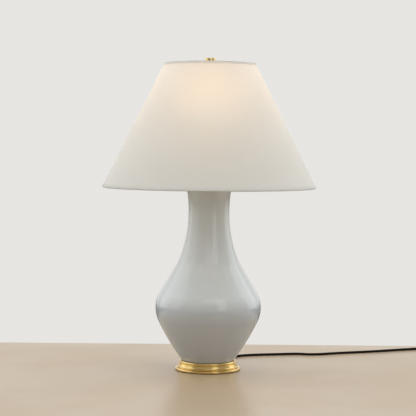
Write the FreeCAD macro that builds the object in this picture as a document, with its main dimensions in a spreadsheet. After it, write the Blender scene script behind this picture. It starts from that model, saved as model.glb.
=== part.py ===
import FreeCAD, Part
import math
import os
import Sketcher

# A ceramic table lamp with a turned brass base, a gourd shaped vase, a harp and
# an empire shade. Millimetres and degrees. The origin is the centre of the
# bottom, +Z is up, the front is -Y, and the cord leaves the back.

Vector = FreeCAD.Vector
UP = Vector(0, 0, 1)

# Driving dimensions. Heights are above the table unless the name says otherwise.
DIMENSIONS = {
    # the vase, as one chain of arcs that meet in line
    "belly_r": 125.3,
    "belly_arc_r": 74.0,
    "belly_height": 148.5,
    "belly_low_angle": 24.6,
    "shoulder_angle": 30.85,
    "lower_arc_r": 515.0,
    "hollow_arc_r": 100.0,
    "hollow_end_angle": 22.0,
    "neck_r": 48.6,
    "neck_arc_r": 310.0,
    "neck_height": 378.0,
    "neck_end_angle": 9.65,
    "flare_arc_r": 40.0,
    "flare_end_angle": 42.0,
    "lip_height": 452.0,
    "lip_round": 2.0,
    "vase_wall": 7.0,
    "foot_height": 19.0,
    "foot_face_r": 57.5,
    "foot_edge_height": 20.3,
    "foot_ring_r": 45.0,
    "foot_recess": 2.0,
    "vase_floor": 8.0,
    "vase_hole_r": 6.2,
    # the turned base
    "base_bottom": 0.8,
    "flange_r": 78.5,
    "flange_bead_r": 2.8,
    "felt_r": 74.0,
    "felt_thick": 1.6,
    "felt_gap": 0.3,
    "plate_r": 70.0,
    "plate_thick": 2.0,
    "cavity_r": 64.0,
    "web_bottom": 16.3,
    "web_top": 18.0,
    "fillet_r": 72.2,
    "fillet_low": 7.2,
    "fillet_high": 9.5,
    "waist_r": 71.5,
    "band_low_r": 71.0,
    "band_high_r": 67.0,
    "band_high": 17.0,
    "band_hollow_r": 24.0,
    "groove_r": 66.2,
    "groove_high": 17.8,
    "base_lip_r": 67.3,
    "base_lip_top_r": 64.9,
    "base_lip_mid": 20.4,
    "base_lip_top": 23.0,
    "base_lip_round": 3.0,
    "base_mouth_r": 63.0,
    "gasket_r": 56.0,
    "gasket_hole_r": 12.0,
    # the threaded pipe and what it clamps
    "pipe_r": 5.15,
    "pipe_bore_r": 3.4,
    "pipe_low": 10.4,
    "pipe_high": 484.0,
    "pipe_clearance": 0.25,
    "washer_r": 11.0,
    "washer_thick": 0.8,
    "nut_across": 17.5,
    "nut_thick": 4.5,
    "cap_r": 61.0,
    "cap_edge": 1.6,
    "cap_dome_r": 420.0,
    "cap_plug_r": 50.0,
    "cap_plug_depth": 4.0,
    "cap_boss_r": 12.0,
    "cap_thick": 6.0,
    "spacer_thick": 18.0,
    "spacer_end_r": 10.5,
    "spacer_waist_r": 7.2,
    "spacer_lip": 2.4,
    "spacer_cove_r": 9.0,
    # the socket
    "saddle_thick": 1.5,
    "saddle_width": 11.0,
    "harp_half_foot": 31.0,
    "saddle_post": 13.0,
    "hub_r": 9.0,
    "hub_height": 4.5,
    "socket_r": 18.6,
    "socket_wall": 0.7,
    "socket_cup_height": 19.5,
    "socket_cup_round": 6.0,
    "shell_r": 17.7,
    "shell_low": 494.0,
    "shell_high": 540.0,
    "liner_wall": 0.5,
    "liner_gap": 0.1,
    "block_r": 16.2,
    "block_neck_r": 12.0,
    "block_low": 486.0,
    "block_step": 495.0,
    "block_high": 513.0,
    "screw_shell_r": 13.15,
    "screw_shell_wall": 0.5,
    "screw_shell_high": 538.0,
    "contact_r": 3.2,
    "contact_thick": 1.4,
    "terminal_r": 2.6,
    "terminal_head": 2.4,
    "terminal_height": 490.5,
    "set_screw_r": 1.4,
    "key_height": 503.0,
    "stem_r": 2.4,
    "stem_bore_gap": 0.05,
    "stem_shell_gap": 0.6,
    "stem_start": 8.0,
    "stem_end": 33.0,
    "knob_start": 24.0,
    "knob_length": 11.0,
    "knob_r": 5.4,
    "knob_ribs": 12,
    # the bulb
    "tip_r": 3.4,
    "tip_gap": 0.1,
    "tip_thick": 3.0,
    "tip_round": 1.0,
    "bulb_cap_r": 13.05,
    "bulb_cap_step_r": 9.0,
    "bulb_cap_step": 3.0,
    "bulb_cap_high": 541.0,
    "bulb_neck_r": 13.6,
    "bulb_r": 30.0,
    "bulb_height": 594.0,
    "bulb_neck_arc_r": 60.0,
    "bulb_wall": 0.8,
    # the harp
    "wire_r": 1.6,
    "harp_foot_gap": 0.4,
    "harp_leg_top": 532.0,
    "harp_half_width": 56.0,
    "harp_low_bend": 572.0,
    "harp_high_half": 57.0,
    "harp_high_bend": 642.0,
    "harp_upper_half": 42.0,
    "harp_upper_bend": 690.0,
    "harp_top_half": 15.0,
    "harp_top": 711.6,
    "sleeve_r": 3.2,
    "sleeve_gap": 0.06,
    "sleeve_length": 20.0,
    "seat_r": 8.0,
    "seat_low": 709.0,
    "seat_high": 716.0,
    "seat_edge": 1.0,
    "stud_r": 3.17,
    "stud_high": 732.0,
    "stud_clearance": 0.35,
    "stud_fit": 0.06,
    "small_washer_r": 9.0,
    "small_washer_thick": 0.95,
    "face_gap": 0.05,
    # the shade, its frame and its trim
    "shade_low_r": 253.6,
    "shade_high_r": 107.6,
    "shade_low": 435.4,
    "shade_high": 727.6,
    "skin_thick": 1.0,
    "ring_wire_r": 1.2,
    "ring_inset": 1.35,
    "ring_slack": 0.15,
    "tape_thick": 0.4,
    "tape_width": 6.0,
    "tape_return": 3.0,
    "tape_inner": 3.6,
    "spider_height": 718.0,
    "spider_hub_r": 10.0,
    "spider_hub_half": 1.0,
    "spider_arms": 3,
    "spider_bend_r": 90.0,
    # the finial
    "finial_r": 12.3,
    "finial_neck_r": 6.0,
    "finial_height": 20.0,
    "finial_neck": 4.0,
    "finial_bore": 14.0,
    "finial_edge": 1.2,
    # the cord, its coil and its plug
    "cord_r": 3.0,
    "exit_height": 11.3,
    "bushing_start": 61.3,
    "bushing_flange_r": 4.8,
    "bushing_flange": 2.2,
    "bushing_barrel_r": 4.1,
    "bushing_hole_r": 4.2,
    "bushing_outer": 72.5,
    "bushing_outer_r": 4.6,
    "bushing_end": 96.0,
    "bushing_end_r": 3.5,
    "lead_r": 2.0,
    "lead_low": 6.2,
    "lead_gap": 0.1,
    "lead_straight_y": 50.0,
    "lead_low_y": 26.0,
    "lead_dip": 0.2,
    "lead_rise": 12.0,
    "coil_r": 42.2,
    "coil_pitch": 6.6,
    "coil_rise": 6.5,
    "coil_turns": 5.375,
    "coil_steps": 22,
    "coil_least_gap": 0.4,
    "coil_tail": 28.0,
    "relief_end_r": 3.8,
    "relief_r": 5.0,
    "relief_length": 20.0,
    "plug_length": 27.0,
    "plug_shoulder": 8.0,
    "plug_half_width": 12.5,
    "plug_half_height": 8.8,
    "plug_edge": 2.4,
    "blade_spacing": 12.7,
    "blade_thick": 1.5,
    "blade_width": 6.3,
    "blade_length": 17.0,
    "blade_hole_r": 1.6,
    "blade_hole_from_end": 4.4,
}

# The cord's route over the table, from the bushing to the start of the coil.
CORD_ROUTE = [
    (0.0, 96.0, 11.3),
    (0.0, 118.0, 11.3),
    (14.0, 136.0, 7.0),
    (38.0, 148.0, 3.0),
    (62.0, 163.0, 3.0),
    (82.0, 193.0, 3.0),
    (124.0, 208.0, 3.0),
    (176.0, 219.0, 3.0),
    (228.0, 232.0, 3.0),
    (270.0, 218.0, 3.0),
    (330.0, 246.0, 3.0),
    (396.0, 268.0, 3.0),
    (452.0, 290.0, 3.0),
    (504.0, 314.0, 3.0),
    (548.0, 332.0, 3.0),
    (582.0, 344.0, 3.0),
]

LEFT = 1    # an arc that turns counterclockwise along the outline
RIGHT = -1  # an arc that turns clockwise along the outline

TOWARDS_BACK = FreeCAD.Rotation(UP, Vector(0, 1, 0))
TOWARDS_FRONT = FreeCAD.Rotation(UP, Vector(0, -1, 0))
TOWARDS_RIGHT = FreeCAD.Rotation(UP, Vector(1, 0, 0))
TOWARDS_LEFT = FreeCAD.Rotation(UP, Vector(-1, 0, 0))

BEND_SHARE = 0.45     # how much of a straight run each of its two bends may take
VOLUME_ERROR = 0.01   # how far a tube's volume may be off
EDGE_ERROR = 0.01     # how near a height counts as the same

doc = FreeCAD.newDocument("table_lamp")
sheet = doc.addObject("Spreadsheet::Sheet", "Sizes")
pieces = []


class Size:
    """A number together with the sheet expression that gives it."""

    def __init__(self, value, text):
        self.value = value
        self.text = text

    def __add__(self, other):
        return joined(self, "+", other, self.value + sized(other).value)

    def __radd__(self, other):
        return sized(other) + self

    def __sub__(self, other):
        return joined(self, "-", other, self.value - sized(other).value)

    def __rsub__(self, other):
        return sized(other) - self

    def __mul__(self, other):
        return joined(self, "*", other, self.value * sized(other).value)

    def __rmul__(self, other):
        return sized(other) * self

    def __truediv__(self, other):
        return joined(self, "/", other, self.value / sized(other).value)

    def __neg__(self):
        return Size(-self.value, "(0 - " + self.text + ")")


def sized(number):
    return number if isinstance(number, Size) else Size(float(number), repr(float(number)))


def joined(first, sign, second, value):
    return Size(value, "(" + first.text + " " + sign + " " + sized(second).text + ")")


def sine(angle):
    return Size(math.sin(math.radians(angle.value)), "sin(" + angle.text + ")")


def cosine(angle):
    return Size(math.cos(math.radians(angle.value)), "cos(" + angle.text + ")")


def root(size):
    return Size(math.sqrt(size.value), "sqrt(" + size.text + ")")


def fill_sheet():
    for row, (alias, value) in enumerate(DIMENSIONS.items(), start=1):
        cell = "B" + str(row)
        sheet.set("A" + str(row), alias)
        sheet.set(cell, str(value))
        sheet.setAlias(cell, alias)
    doc.recompute()


def dim(alias):
    return Size(float(sheet.get(alias)), "Sizes." + alias)


def keep(obj, name):
    obj.Label = name
    pieces.append(obj)
    return obj


def bind(obj, **sizes):
    """Bind properties of an object to the sheet."""
    for name, size in sizes.items():
        obj.setExpression(name, sized(size).text)
    return obj


def place(obj, x=0, y=0, z=0, rotation=None):
    """Put an object at a bound position."""
    where = [sized(x), sized(y), sized(z)]
    turned = rotation or FreeCAD.Rotation()
    obj.Placement = FreeCAD.Placement(Vector(*[size.value for size in where]), turned)
    for axis, size in zip("xyz", where):
        obj.setExpression("Placement.Base." + axis, size.text)
    return obj


def primitive(kind, name, **sizes):
    return bind(doc.addObject(kind, name), **sizes)


def cylinder(name, radius, height):
    return primitive("Part::Cylinder", name, Radius=radius, Height=height)


def cut(name, base, tool):
    result = doc.addObject("Part::Cut", name)
    result.Base = base
    result.Tool = tool
    return result


def fused(name, objects):
    result = doc.addObject("Part::MultiFuse", name)
    result.Shapes = objects
    return result


def origin_plane(body, role):
    return [plane for plane in body.Origin.OriginFeatures if plane.Role == role][0]


def arc_between(start, end, radius, side):
    """The minor arc from start to end, and the places of its two ends in it."""
    chord = end - start
    half = chord.Length / 2
    normal = Vector(-chord.y, chord.x, 0).normalize() * side
    centre = start + chord / 2 + normal * math.sqrt(max(radius ** 2 - half ** 2, 0))
    first, last = (start, end) if side == LEFT else (end, start)
    angle_1 = math.atan2(first.y - centre.y, first.x - centre.x)
    angle_2 = math.atan2(last.y - centre.y, last.x - centre.x)
    if angle_2 < angle_1:
        angle_2 += 2 * math.pi
    arc = Part.ArcOfCircle(Part.Circle(centre, UP, radius), angle_1, angle_2)
    return arc, ((1, 2) if side == LEFT else (2, 1))


def draw_outline(sketch, outline):
    """Draw a closed outline of (x, y) corners. A corner of four values is
    reached along an arc: (x, y, radius, side)."""
    corners = [Vector(sized(c[0]).value, sized(c[1]).value, 0) for c in outline]
    ends = []
    bound = []
    for index, corner in enumerate(outline):
        start, end = corners[index - 1], corners[index]
        if len(corner) == 4:
            radius = sized(corner[2])
            arc, places = arc_between(start, end, radius.value, corner[3])
            geometry = sketch.addGeometry(arc, False)
            bound.append((("Radius", geometry, radius.value), radius))
        else:
            places = (1, 2)
            geometry = sketch.addGeometry(Part.LineSegment(start, end), False)
        ends.append((geometry, places))
    joints = []
    for index, (geometry, places) in enumerate(ends):
        following, next_places = ends[(index + 1) % len(ends)]
        joints.append(Sketcher.Constraint("Coincident", geometry, places[1], following, next_places[0]))
        across, along = sized(outline[index][0]), sized(outline[index][1])
        for kind, size, axis in (("DistanceX", across, -2), ("DistanceY", along, -1)):
            if size.value == 0:
                joints.append(Sketcher.Constraint("PointOnObject", geometry, places[1], axis))
            else:
                bound.append(((kind, -1, 1, geometry, places[1], size.value), size))
    sketch.addConstraint(joints)
    for arguments, size in bound:
        number = sketch.addConstraint(Sketcher.Constraint(*arguments))
        sketch.setExpression("Constraints[" + str(number) + "]", size.text)


def new_sketch(body, name, role):
    sketch = body.newObject("Sketcher::SketchObject", name)
    sketch.AttachmentSupport = [(origin_plane(body, role), "")]
    sketch.MapMode = "FlatFace"
    return sketch


def turned_body(name, outline):
    """A body turned about its own Z axis from an outline of (radius, height)."""
    body = doc.addObject("PartDesign::Body", name)
    sketch = new_sketch(body, name + "_outline", "XZ_Plane")
    draw_outline(sketch, outline)
    revolution = body.newObject("PartDesign::Revolution", name + "_turned")
    revolution.Profile = sketch
    revolution.ReferenceAxis = (sketch, ["V_Axis"])
    revolution.Angle = 360
    body.Tip = revolution
    return body


def ring(name, inner, outer, thick):
    return turned_body(name, [(inner, 0), (outer, 0), (outer, thick), (inner, thick)])


def at_angle(centre, radius, angle):
    """The point of a circle at an angle above the outward direction."""
    return centre[0] + radius * cosine(angle), centre[1] + radius * sine(angle)


def bent_arc(start, corner, end):
    """The arc that is tangent at start and end to the lines to a corner."""
    into = (corner - start).normalize()
    out = (end - corner).normalize()
    half_turn = into.getAngle(out) / 2
    middle = (start + end) / 2
    share = math.cos(half_turn) / (1 + math.cos(half_turn))
    return Part.Arc(start, middle + (corner - middle) * share, end).toShape()


def rounded_path(points):
    """Straight runs joined by tangent arcs as large as the runs allow."""
    spots = [Vector(*point) for point in points]
    edges = []
    radii = []
    last = spots[0]
    for before, corner, after in zip(spots, spots[1:], spots[2:]):
        into = corner - before
        out = after - corner
        tangent = BEND_SHARE * min(into.Length, out.Length)
        radii.append(tangent / math.tan(into.getAngle(out) / 2))
        start = corner - into.normalize() * tangent
        end = corner + out.normalize() * tangent
        edges.append(Part.LineSegment(last, start).toShape())
        edges.append(bent_arc(start, corner, end))
        last = end
    edges.append(Part.LineSegment(last, spots[-1]).toShape())
    return Part.Wire(edges), radii


def tube(name, path, radius):
    """A round tube swept along a path of tangent edges."""
    first = path.OrderedEdges[0]
    start = first.valueAt(first.FirstParameter)
    heading = first.tangentAt(first.FirstParameter)
    section = Part.Wire(Part.Circle(start, heading, radius).toShape())
    shape = path.makePipeShell([section], True, False)
    share = shape.Volume / (math.pi * radius ** 2 * path.Length)
    if abs(share - 1) > VOLUME_ERROR:
        raise ValueError(name + ": the tube's volume is off by a factor of " + str(share))
    feature = doc.addObject("Part::Feature", name)
    feature.Shape = shape
    return feature


def plate_top():
    return dim("felt_thick") + dim("plate_thick")


def pipe_hole():
    return dim("pipe_r") + dim("pipe_clearance")


def base_ring():
    """Turned base: a bead flange, a fillet, a hollowed band and a rolled lip."""
    bottom = dim("base_bottom")
    bead = dim("flange_bead_r")
    bead_x = dim("flange_r") - bead
    felt_edge = dim("felt_r") + dim("felt_gap")
    plate_edge = dim("plate_r") + dim("felt_gap")
    hole = pipe_hole()
    blank = turned_body("base_blank", [
        (felt_edge, bottom),
        (bead_x, bottom),
        (dim("flange_r"), bottom + bead, bead, LEFT),
        (bead_x, bottom + bead * 2, bead, LEFT),
        (dim("waist_r"), bottom + bead * 2),
        (dim("waist_r"), dim("fillet_low")),
        (dim("fillet_r"), dim("fillet_low")),
        (dim("fillet_r"), dim("fillet_high")),
        (dim("band_low_r"), dim("fillet_high")),
        (dim("band_high_r"), dim("band_high"), dim("band_hollow_r"), RIGHT),
        (dim("groove_r"), dim("band_high")),
        (dim("groove_r"), dim("groove_high")),
        (dim("base_lip_r"), dim("base_lip_mid"), dim("base_lip_round"), LEFT),
        (dim("base_lip_top_r"), dim("base_lip_top"), dim("base_lip_round"), LEFT),
        (dim("base_mouth_r"), dim("base_lip_top")),
        (dim("base_mouth_r"), dim("web_top")),
        (hole, dim("web_top")),
        (hole, dim("web_bottom")),
        (dim("cavity_r"), dim("web_bottom")),
        (dim("cavity_r"), plate_top()),
        (plate_edge, plate_top()),
        (plate_edge, dim("felt_thick")),
        (felt_edge, dim("felt_thick")),
    ])
    drill = cylinder("cord_drill", dim("bushing_hole_r"), dim("flange_r") - dim("bushing_start"))
    place(drill, y=dim("bushing_start"), z=dim("exit_height"), rotation=TOWARDS_BACK)
    keep(cut("base_cut", blank, drill), "base_ring")


def felt_pad():
    keep(place(cylinder("felt", dim("felt_r"), dim("felt_thick"))), "felt_pad")


def weight_plate():
    plate = cylinder("plate", dim("plate_r"), dim("plate_thick"))
    keep(place(plate, z=dim("felt_thick")), "weight_plate")


def cord_bushing():
    """Rubber grommet with a flange each side of the wall and a tapered sleeve."""
    start = dim("bushing_start")
    barrel = dim("bushing_flange")
    outer = dim("bushing_outer") - start
    end = dim("bushing_end") - start
    bore = dim("lead_r") + dim("lead_gap")
    body = turned_body("bushing", [
        (bore, 0),
        (dim("bushing_flange_r"), 0),
        (dim("bushing_flange_r"), barrel),
        (dim("bushing_barrel_r"), barrel),
        (dim("bushing_barrel_r"), outer),
        (dim("bushing_outer_r"), outer),
        (dim("bushing_outer_r"), outer + barrel),
        (dim("bushing_end_r"), end),
        (bore, end),
    ])
    place(body, y=start, z=dim("exit_height"), rotation=TOWARDS_BACK)
    keep(body, "cord_bushing")


def vase_wall_arcs(inset):
    """The arc chain of the vase, moved into the wall by inset.

    Each entry is (centre, radius, start angle, end angle, side), from the foot
    to the mouth. The arcs share their tangents, so an inset keeps their centres.
    """
    belly_centre = (dim("belly_r") - dim("belly_arc_r"), dim("belly_height"))
    low = -dim("belly_low_angle")
    shoulder = dim("shoulder_angle")
    low_point = at_angle(belly_centre, dim("belly_arc_r"), low)
    lower_centre = at_angle(low_point, -dim("lower_arc_r"), low)
    neck_centre = (dim("neck_r") + dim("neck_arc_r"), dim("neck_height"))
    hollow_end = dim("hollow_end_angle")
    neck_start = at_angle(neck_centre, -dim("neck_arc_r"), hollow_end)
    hollow_centre = at_angle(neck_start, dim("hollow_arc_r"), hollow_end)
    flare_start = at_angle(neck_centre, -dim("neck_arc_r"), -dim("neck_end_angle"))
    flare_centre = at_angle(flare_start, dim("flare_arc_r"), -dim("neck_end_angle"))
    return {
        "lower": (lower_centre, dim("lower_arc_r") - inset, low),
        "belly": (belly_centre, dim("belly_arc_r") - inset, low, shoulder),
        "hollow": (hollow_centre, -(dim("hollow_arc_r") + inset), shoulder, hollow_end),
        "neck": (neck_centre, -(dim("neck_arc_r") + inset), hollow_end, -dim("neck_end_angle")),
        "flare": (flare_centre, -(dim("flare_arc_r") + inset), -dim("flare_end_angle")),
    }


def radius_at(centre, arc_radius, height):
    """Distance from the axis of a convex arc at a height."""
    drop = centre[1] - height
    return centre[0] + root(arc_radius * arc_radius - drop * drop)


def vase():
    """Thrown gourd body with a foot ring, a pipe hole and a flared mouth."""
    outer = vase_wall_arcs(sized(0))
    inner = vase_wall_arcs(dim("vase_wall"))
    foot = dim("foot_height")
    ring_top = foot + dim("foot_recess")
    floor = foot + dim("vase_floor")
    lip = dim("lip_height")
    flare_centre, flare_r, flare_end = inner["flare"]
    rise = lip - flare_centre[1]
    mouth_r = flare_centre[0] - root(flare_r * flare_r - rise * rise)
    edge = at_angle(*outer["flare"])

    def point(chain, name, end):
        centre, radius = chain[name][:2]
        return at_angle(centre, radius, chain[name][2 + end])

    def upward(chain):
        belly, hollow, neck = chain["belly"], chain["hollow"], chain["neck"]
        return [
            (*point(chain, "belly", 1), belly[1], LEFT),
            point(chain, "hollow", 0),
            (*point(chain, "hollow", 1), -hollow[1], RIGHT),
            (*point(chain, "neck", 1), -neck[1], RIGHT),
        ]

    outside = upward(outer)
    inside = upward(inner)
    body = turned_body("vase_body", [
        (dim("vase_hole_r"), ring_top),
        (dim("foot_ring_r"), ring_top),
        (dim("foot_ring_r") + dim("foot_recess"), foot),
        (dim("foot_face_r"), foot),
        (radius_at(outer["lower"][0], outer["lower"][1], dim("foot_edge_height")),
         dim("foot_edge_height")),
        (*point(outer, "belly", 0), outer["lower"][1], LEFT),
        *outside,
        (*edge, -outer["flare"][1], RIGHT),
        (edge[0] - dim("lip_round"), lip, dim("lip_round"), LEFT),
        (mouth_r, lip),
        (*inside[3][:2], -flare_r, LEFT),
        (*inside[2][:2], inside[3][2], LEFT),
        (*inside[1][:2], inside[2][2], LEFT),
        inside[0][:2],
        (*point(inner, "belly", 0), inside[0][2], RIGHT),
        (radius_at(inner["lower"][0], inner["lower"][1], floor), floor,
         inner["lower"][1], RIGHT),
        (dim("vase_hole_r"), floor),
    ])
    keep(body, "vase")


def foot_gasket():
    thick = dim("foot_height") - dim("web_top")
    gasket = ring("gasket", dim("gasket_hole_r"), dim("gasket_r"), thick)
    keep(place(gasket, z=dim("web_top")), "foot_gasket")


def threaded_pipe():
    """The pipe that clamps base, vase, cap and socket together."""
    low = dim("pipe_low")
    pipe = ring("pipe_body", dim("pipe_bore_r"), dim("pipe_r"), dim("pipe_high") - low)
    keep(place(pipe, z=low), "threaded_pipe")


def pipe_washer():
    washer = ring("pipe_washer_body", pipe_hole(), dim("washer_r"), dim("washer_thick"))
    keep(place(washer, z=dim("web_bottom") - dim("washer_thick")), "pipe_washer")


def pipe_nut():
    """Hexagon nut under the base's web."""
    half_corner = sized(30)
    nut = primitive("Part::Prism", "nut_blank", Height=dim("nut_thick"),
                    Circumradius=dim("nut_across") / 2 / cosine(half_corner))
    nut.Polygon = 6
    bore = cylinder("nut_bore", dim("pipe_r"), dim("nut_thick"))
    low = dim("web_bottom") - dim("washer_thick") - dim("nut_thick")
    place(nut, z=low)
    place(bore, z=low)
    keep(cut("nut_cut", nut, bore), "pipe_nut")


def vase_cap():
    """Domed cap that centres in the mouth."""
    depth = dim("cap_plug_depth")
    cap = turned_body("cap_body", [
        (pipe_hole(), 0),
        (dim("cap_plug_r"), 0),
        (dim("cap_plug_r"), depth),
        (dim("cap_r"), depth),
        (dim("cap_r"), depth + dim("cap_edge")),
        (dim("cap_boss_r"), depth + dim("cap_thick"), dim("cap_dome_r"), LEFT),
        (pipe_hole(), depth + dim("cap_thick")),
    ])
    keep(place(cap, z=dim("lip_height") - depth), "vase_cap")


def neck_spacer():
    """Waisted spool between the cap and the socket."""
    thick = dim("spacer_thick")
    lip = dim("spacer_lip")
    spacer = turned_body("spacer_body", [
        (pipe_hole(), 0),
        (dim("spacer_end_r"), 0),
        (dim("spacer_end_r"), lip),
        (dim("spacer_waist_r"), thick / 2, dim("spacer_cove_r"), RIGHT),
        (dim("spacer_end_r"), thick - lip, dim("spacer_cove_r"), RIGHT),
        (dim("spacer_end_r"), thick),
        (pipe_hole(), thick),
    ])
    keep(place(spacer, z=dim("lip_height") + dim("cap_thick")), "neck_spacer")


def saddle_height():
    return dim("lip_height") + dim("cap_thick") + dim("spacer_thick")


def harp_saddle():
    """Flat bar with rounded ends and an upright post at each end."""
    low = saddle_height()
    thick = dim("saddle_thick")
    half = dim("harp_half_foot")
    width = dim("saddle_width")
    bar = primitive("Part::Box", "saddle_bar", Length=half * 2, Width=width, Height=thick)
    place(bar, x=-half, y=-width / 2, z=low)
    shapes = [bar]
    for side, name in ((-1, "left"), (1, "right")):
        end = cylinder("saddle_end_" + name, width / 2, thick)
        post = cylinder("saddle_post_" + name, dim("wire_r"), thick + dim("saddle_post"))
        shapes.append(place(end, x=half * side, z=low))
        shapes.append(place(post, x=half * side, z=low))
    bore = cylinder("saddle_bore", pipe_hole(), thick)
    place(bore, z=low)
    keep(cut("saddle_cut", fused("saddle_solid", shapes), bore), "harp_saddle")


def socket_cap():
    """Socket cup with a hub that screws on the pipe, and its set screw."""
    low = saddle_height() + dim("saddle_thick")
    wall = dim("socket_wall")
    hub = dim("hub_height")
    bend = dim("socket_cup_round")
    outer = dim("socket_r")
    top = dim("socket_cup_height")
    cup = turned_body("cup_body", [
        (pipe_hole(), 0),
        (dim("hub_r"), 0),
        (dim("hub_r"), hub - wall),
        (outer - bend, hub - wall),
        (outer, hub - wall + bend, bend, LEFT),
        (outer, top),
        (outer - wall, top),
        (outer - wall, hub - wall + bend),
        (outer - bend, hub, bend - wall, RIGHT),
        (pipe_hole(), hub),
    ])
    place(cup, z=low)
    screws = []
    for name in ("set_screw_hole", "set_screw"):
        screw = cylinder(name, dim("set_screw_r"), dim("hub_r") - pipe_hole() + dim("set_screw_r"))
        place(screw, x=pipe_hole(), z=low + (hub - wall) / 2, rotation=TOWARDS_RIGHT)
        screws.append(screw)
    keep(cut("cup_cut", cup, screws[0]), "socket_cap")
    keep(screws[1], "socket_set_screw")


def socket_shell():
    """Outer shell of the socket with the key's opening."""
    height = dim("shell_high") - dim("shell_low")
    shell = ring("shell_body", dim("shell_r") - dim("socket_wall"), dim("shell_r"), height)
    place(shell, z=dim("shell_low"))
    keep(cut("shell_cut", shell, key_drill("shell_key_hole")), "socket_shell")


def socket_liner():
    """Card tube inside the shell."""
    outer = dim("shell_r") - dim("socket_wall") - dim("liner_gap")
    height = dim("shell_high") - dim("shell_low") - dim("socket_wall")
    liner = ring("liner_body", outer - dim("liner_wall"), outer, height)
    place(liner, z=dim("shell_low"))
    keep(cut("liner_cut", liner, key_drill("liner_key_hole")), "socket_liner")


def key_drill(name, gap="stem_shell_gap"):
    drill = cylinder(name, dim("stem_r") + dim(gap), dim("stem_end") - dim("stem_start"))
    return place(drill, y=-dim("stem_start"), z=dim("key_height"), rotation=TOWARDS_FRONT)


def socket_block():
    """Insulating block that holds the screw shell and the key's stem."""
    low, step, high = dim("block_low"), dim("block_step"), dim("block_high")
    block = turned_body("block_body", [
        (0, 0),
        (dim("block_neck_r"), 0),
        (dim("block_neck_r"), step - low),
        (dim("block_r"), step - low),
        (dim("block_r"), high - low),
        (0, high - low),
    ])
    place(block, z=low)
    keep(cut("block_cut", block, key_drill("block_key_hole", "stem_bore_gap")), "socket_block")


def screw_shell():
    inner = dim("screw_shell_r")
    height = dim("screw_shell_high") - dim("block_high")
    shell = ring("screw_shell_body", inner, inner + dim("screw_shell_wall"), height)
    keep(place(shell, z=dim("block_high")), "screw_shell")


def centre_contact():
    contact = cylinder("contact_disc", dim("contact_r"), dim("contact_thick"))
    keep(place(contact, z=dim("block_high")), "centre_contact")


def terminal_screws():
    """A screw head on each side of the block's neck."""
    heads = []
    for side, turn, name in ((-1, TOWARDS_LEFT, "left"), (1, TOWARDS_RIGHT, "right")):
        head = cylinder("terminal_" + name, dim("terminal_r"), dim("terminal_head"))
        place(head, x=dim("block_neck_r") * side, z=dim("terminal_height"), rotation=turn)
        heads.append(head)
    pair = doc.addObject("Part::Compound", "terminal_pair")
    pair.Links = heads
    keep(pair, "terminal_screws")


def switch_stem():
    """Round stem from the block out through the shell."""
    start = dim("stem_start")
    stem = cylinder("stem_rod", dim("stem_r"), dim("stem_end") - start)
    keep(place(stem, y=-start, z=dim("key_height"), rotation=TOWARDS_FRONT), "switch_stem")


def switch_knob():
    """Ribbed knob pushed on the stem's end."""
    start = dim("knob_start")
    seat = dim("stem_end") - start
    length = dim("knob_length")
    radius = dim("knob_r")
    rib = radius * math.pi / dim("knob_ribs") / 2
    blank = turned_body("knob_blank", [
        (dim("stem_r"), 0),
        (radius - rib, 0),
        (radius, rib),
        (radius, length - rib * 2),
        (radius - rib * 2, length, rib * 2, LEFT),
        (0, length),
        (0, seat),
        (dim("stem_r"), seat),
    ])
    grooves = []
    count = int(dim("knob_ribs").value)
    for number in range(count):
        angle = sized(360 * number / count)
        groove = cylinder("knob_groove_" + str(number), rib / 2, length)
        grooves.append(place(groove, x=radius * cosine(angle), y=radius * sine(angle)))
    knob = cut("knob_cut", blank, fused("knob_grooves", grooves))
    keep(place(knob, y=-start, z=dim("key_height"), rotation=TOWARDS_FRONT), "switch_knob")


def tip_low():
    return dim("block_high") + dim("contact_thick") + dim("tip_gap")


def bulb_tip():
    """The contact button under the bulb's cap."""
    thick = dim("tip_thick")
    edge = dim("tip_round")
    tip = turned_body("tip_body", [
        (0, 0),
        (dim("tip_r") - edge, 0),
        (dim("tip_r"), edge, edge, LEFT),
        (dim("tip_r"), thick),
        (0, thick),
    ])
    keep(place(tip, z=tip_low()), "bulb_tip")


def bulb_cap():
    """Screw cap of the bulb, with a cone towards the tip."""
    low = tip_low() + dim("tip_thick") + dim("tip_gap")
    height = dim("bulb_cap_high") - low
    cap = turned_body("bulb_cap_body", [
        (0, 0),
        (dim("bulb_cap_step_r"), 0),
        (dim("bulb_cap_r"), dim("bulb_cap_step")),
        (dim("bulb_cap_r"), height),
        (0, height),
    ])
    keep(place(cap, z=low), "bulb_cap")


def bulb_glass():
    """Pear shaped glass: a neck, a hollow flank and a globe that meets it in line."""
    rise = dim("bulb_height") - dim("bulb_cap_high")
    wall = dim("bulb_wall")
    neck = dim("bulb_neck_r")
    globe = dim("bulb_r")
    flank = dim("bulb_neck_arc_r")
    centre_gap = globe + flank
    flank_x = neck + flank
    flank_rise = root(centre_gap * centre_gap - flank_x * flank_x)
    share = globe / centre_gap
    inner_share = (globe - wall) / centre_gap
    glass = turned_body("glass_body", [
        (neck - wall, 0),
        (neck, 0),
        (neck, rise - flank_rise),
        (flank_x * share, rise - flank_rise * share, flank, RIGHT),
        (globe, rise, globe, LEFT),
        (0, rise + globe, globe, LEFT),
        (0, rise + globe - wall),
        (globe - wall, rise, globe - wall, RIGHT),
        (flank_x * inner_share, rise - flank_rise * inner_share, globe - wall, RIGHT),
        (neck - wall, rise - flank_rise, flank + wall, LEFT),
    ])
    keep(place(glass, z=dim("bulb_cap_high")), "bulb_glass")


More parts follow.
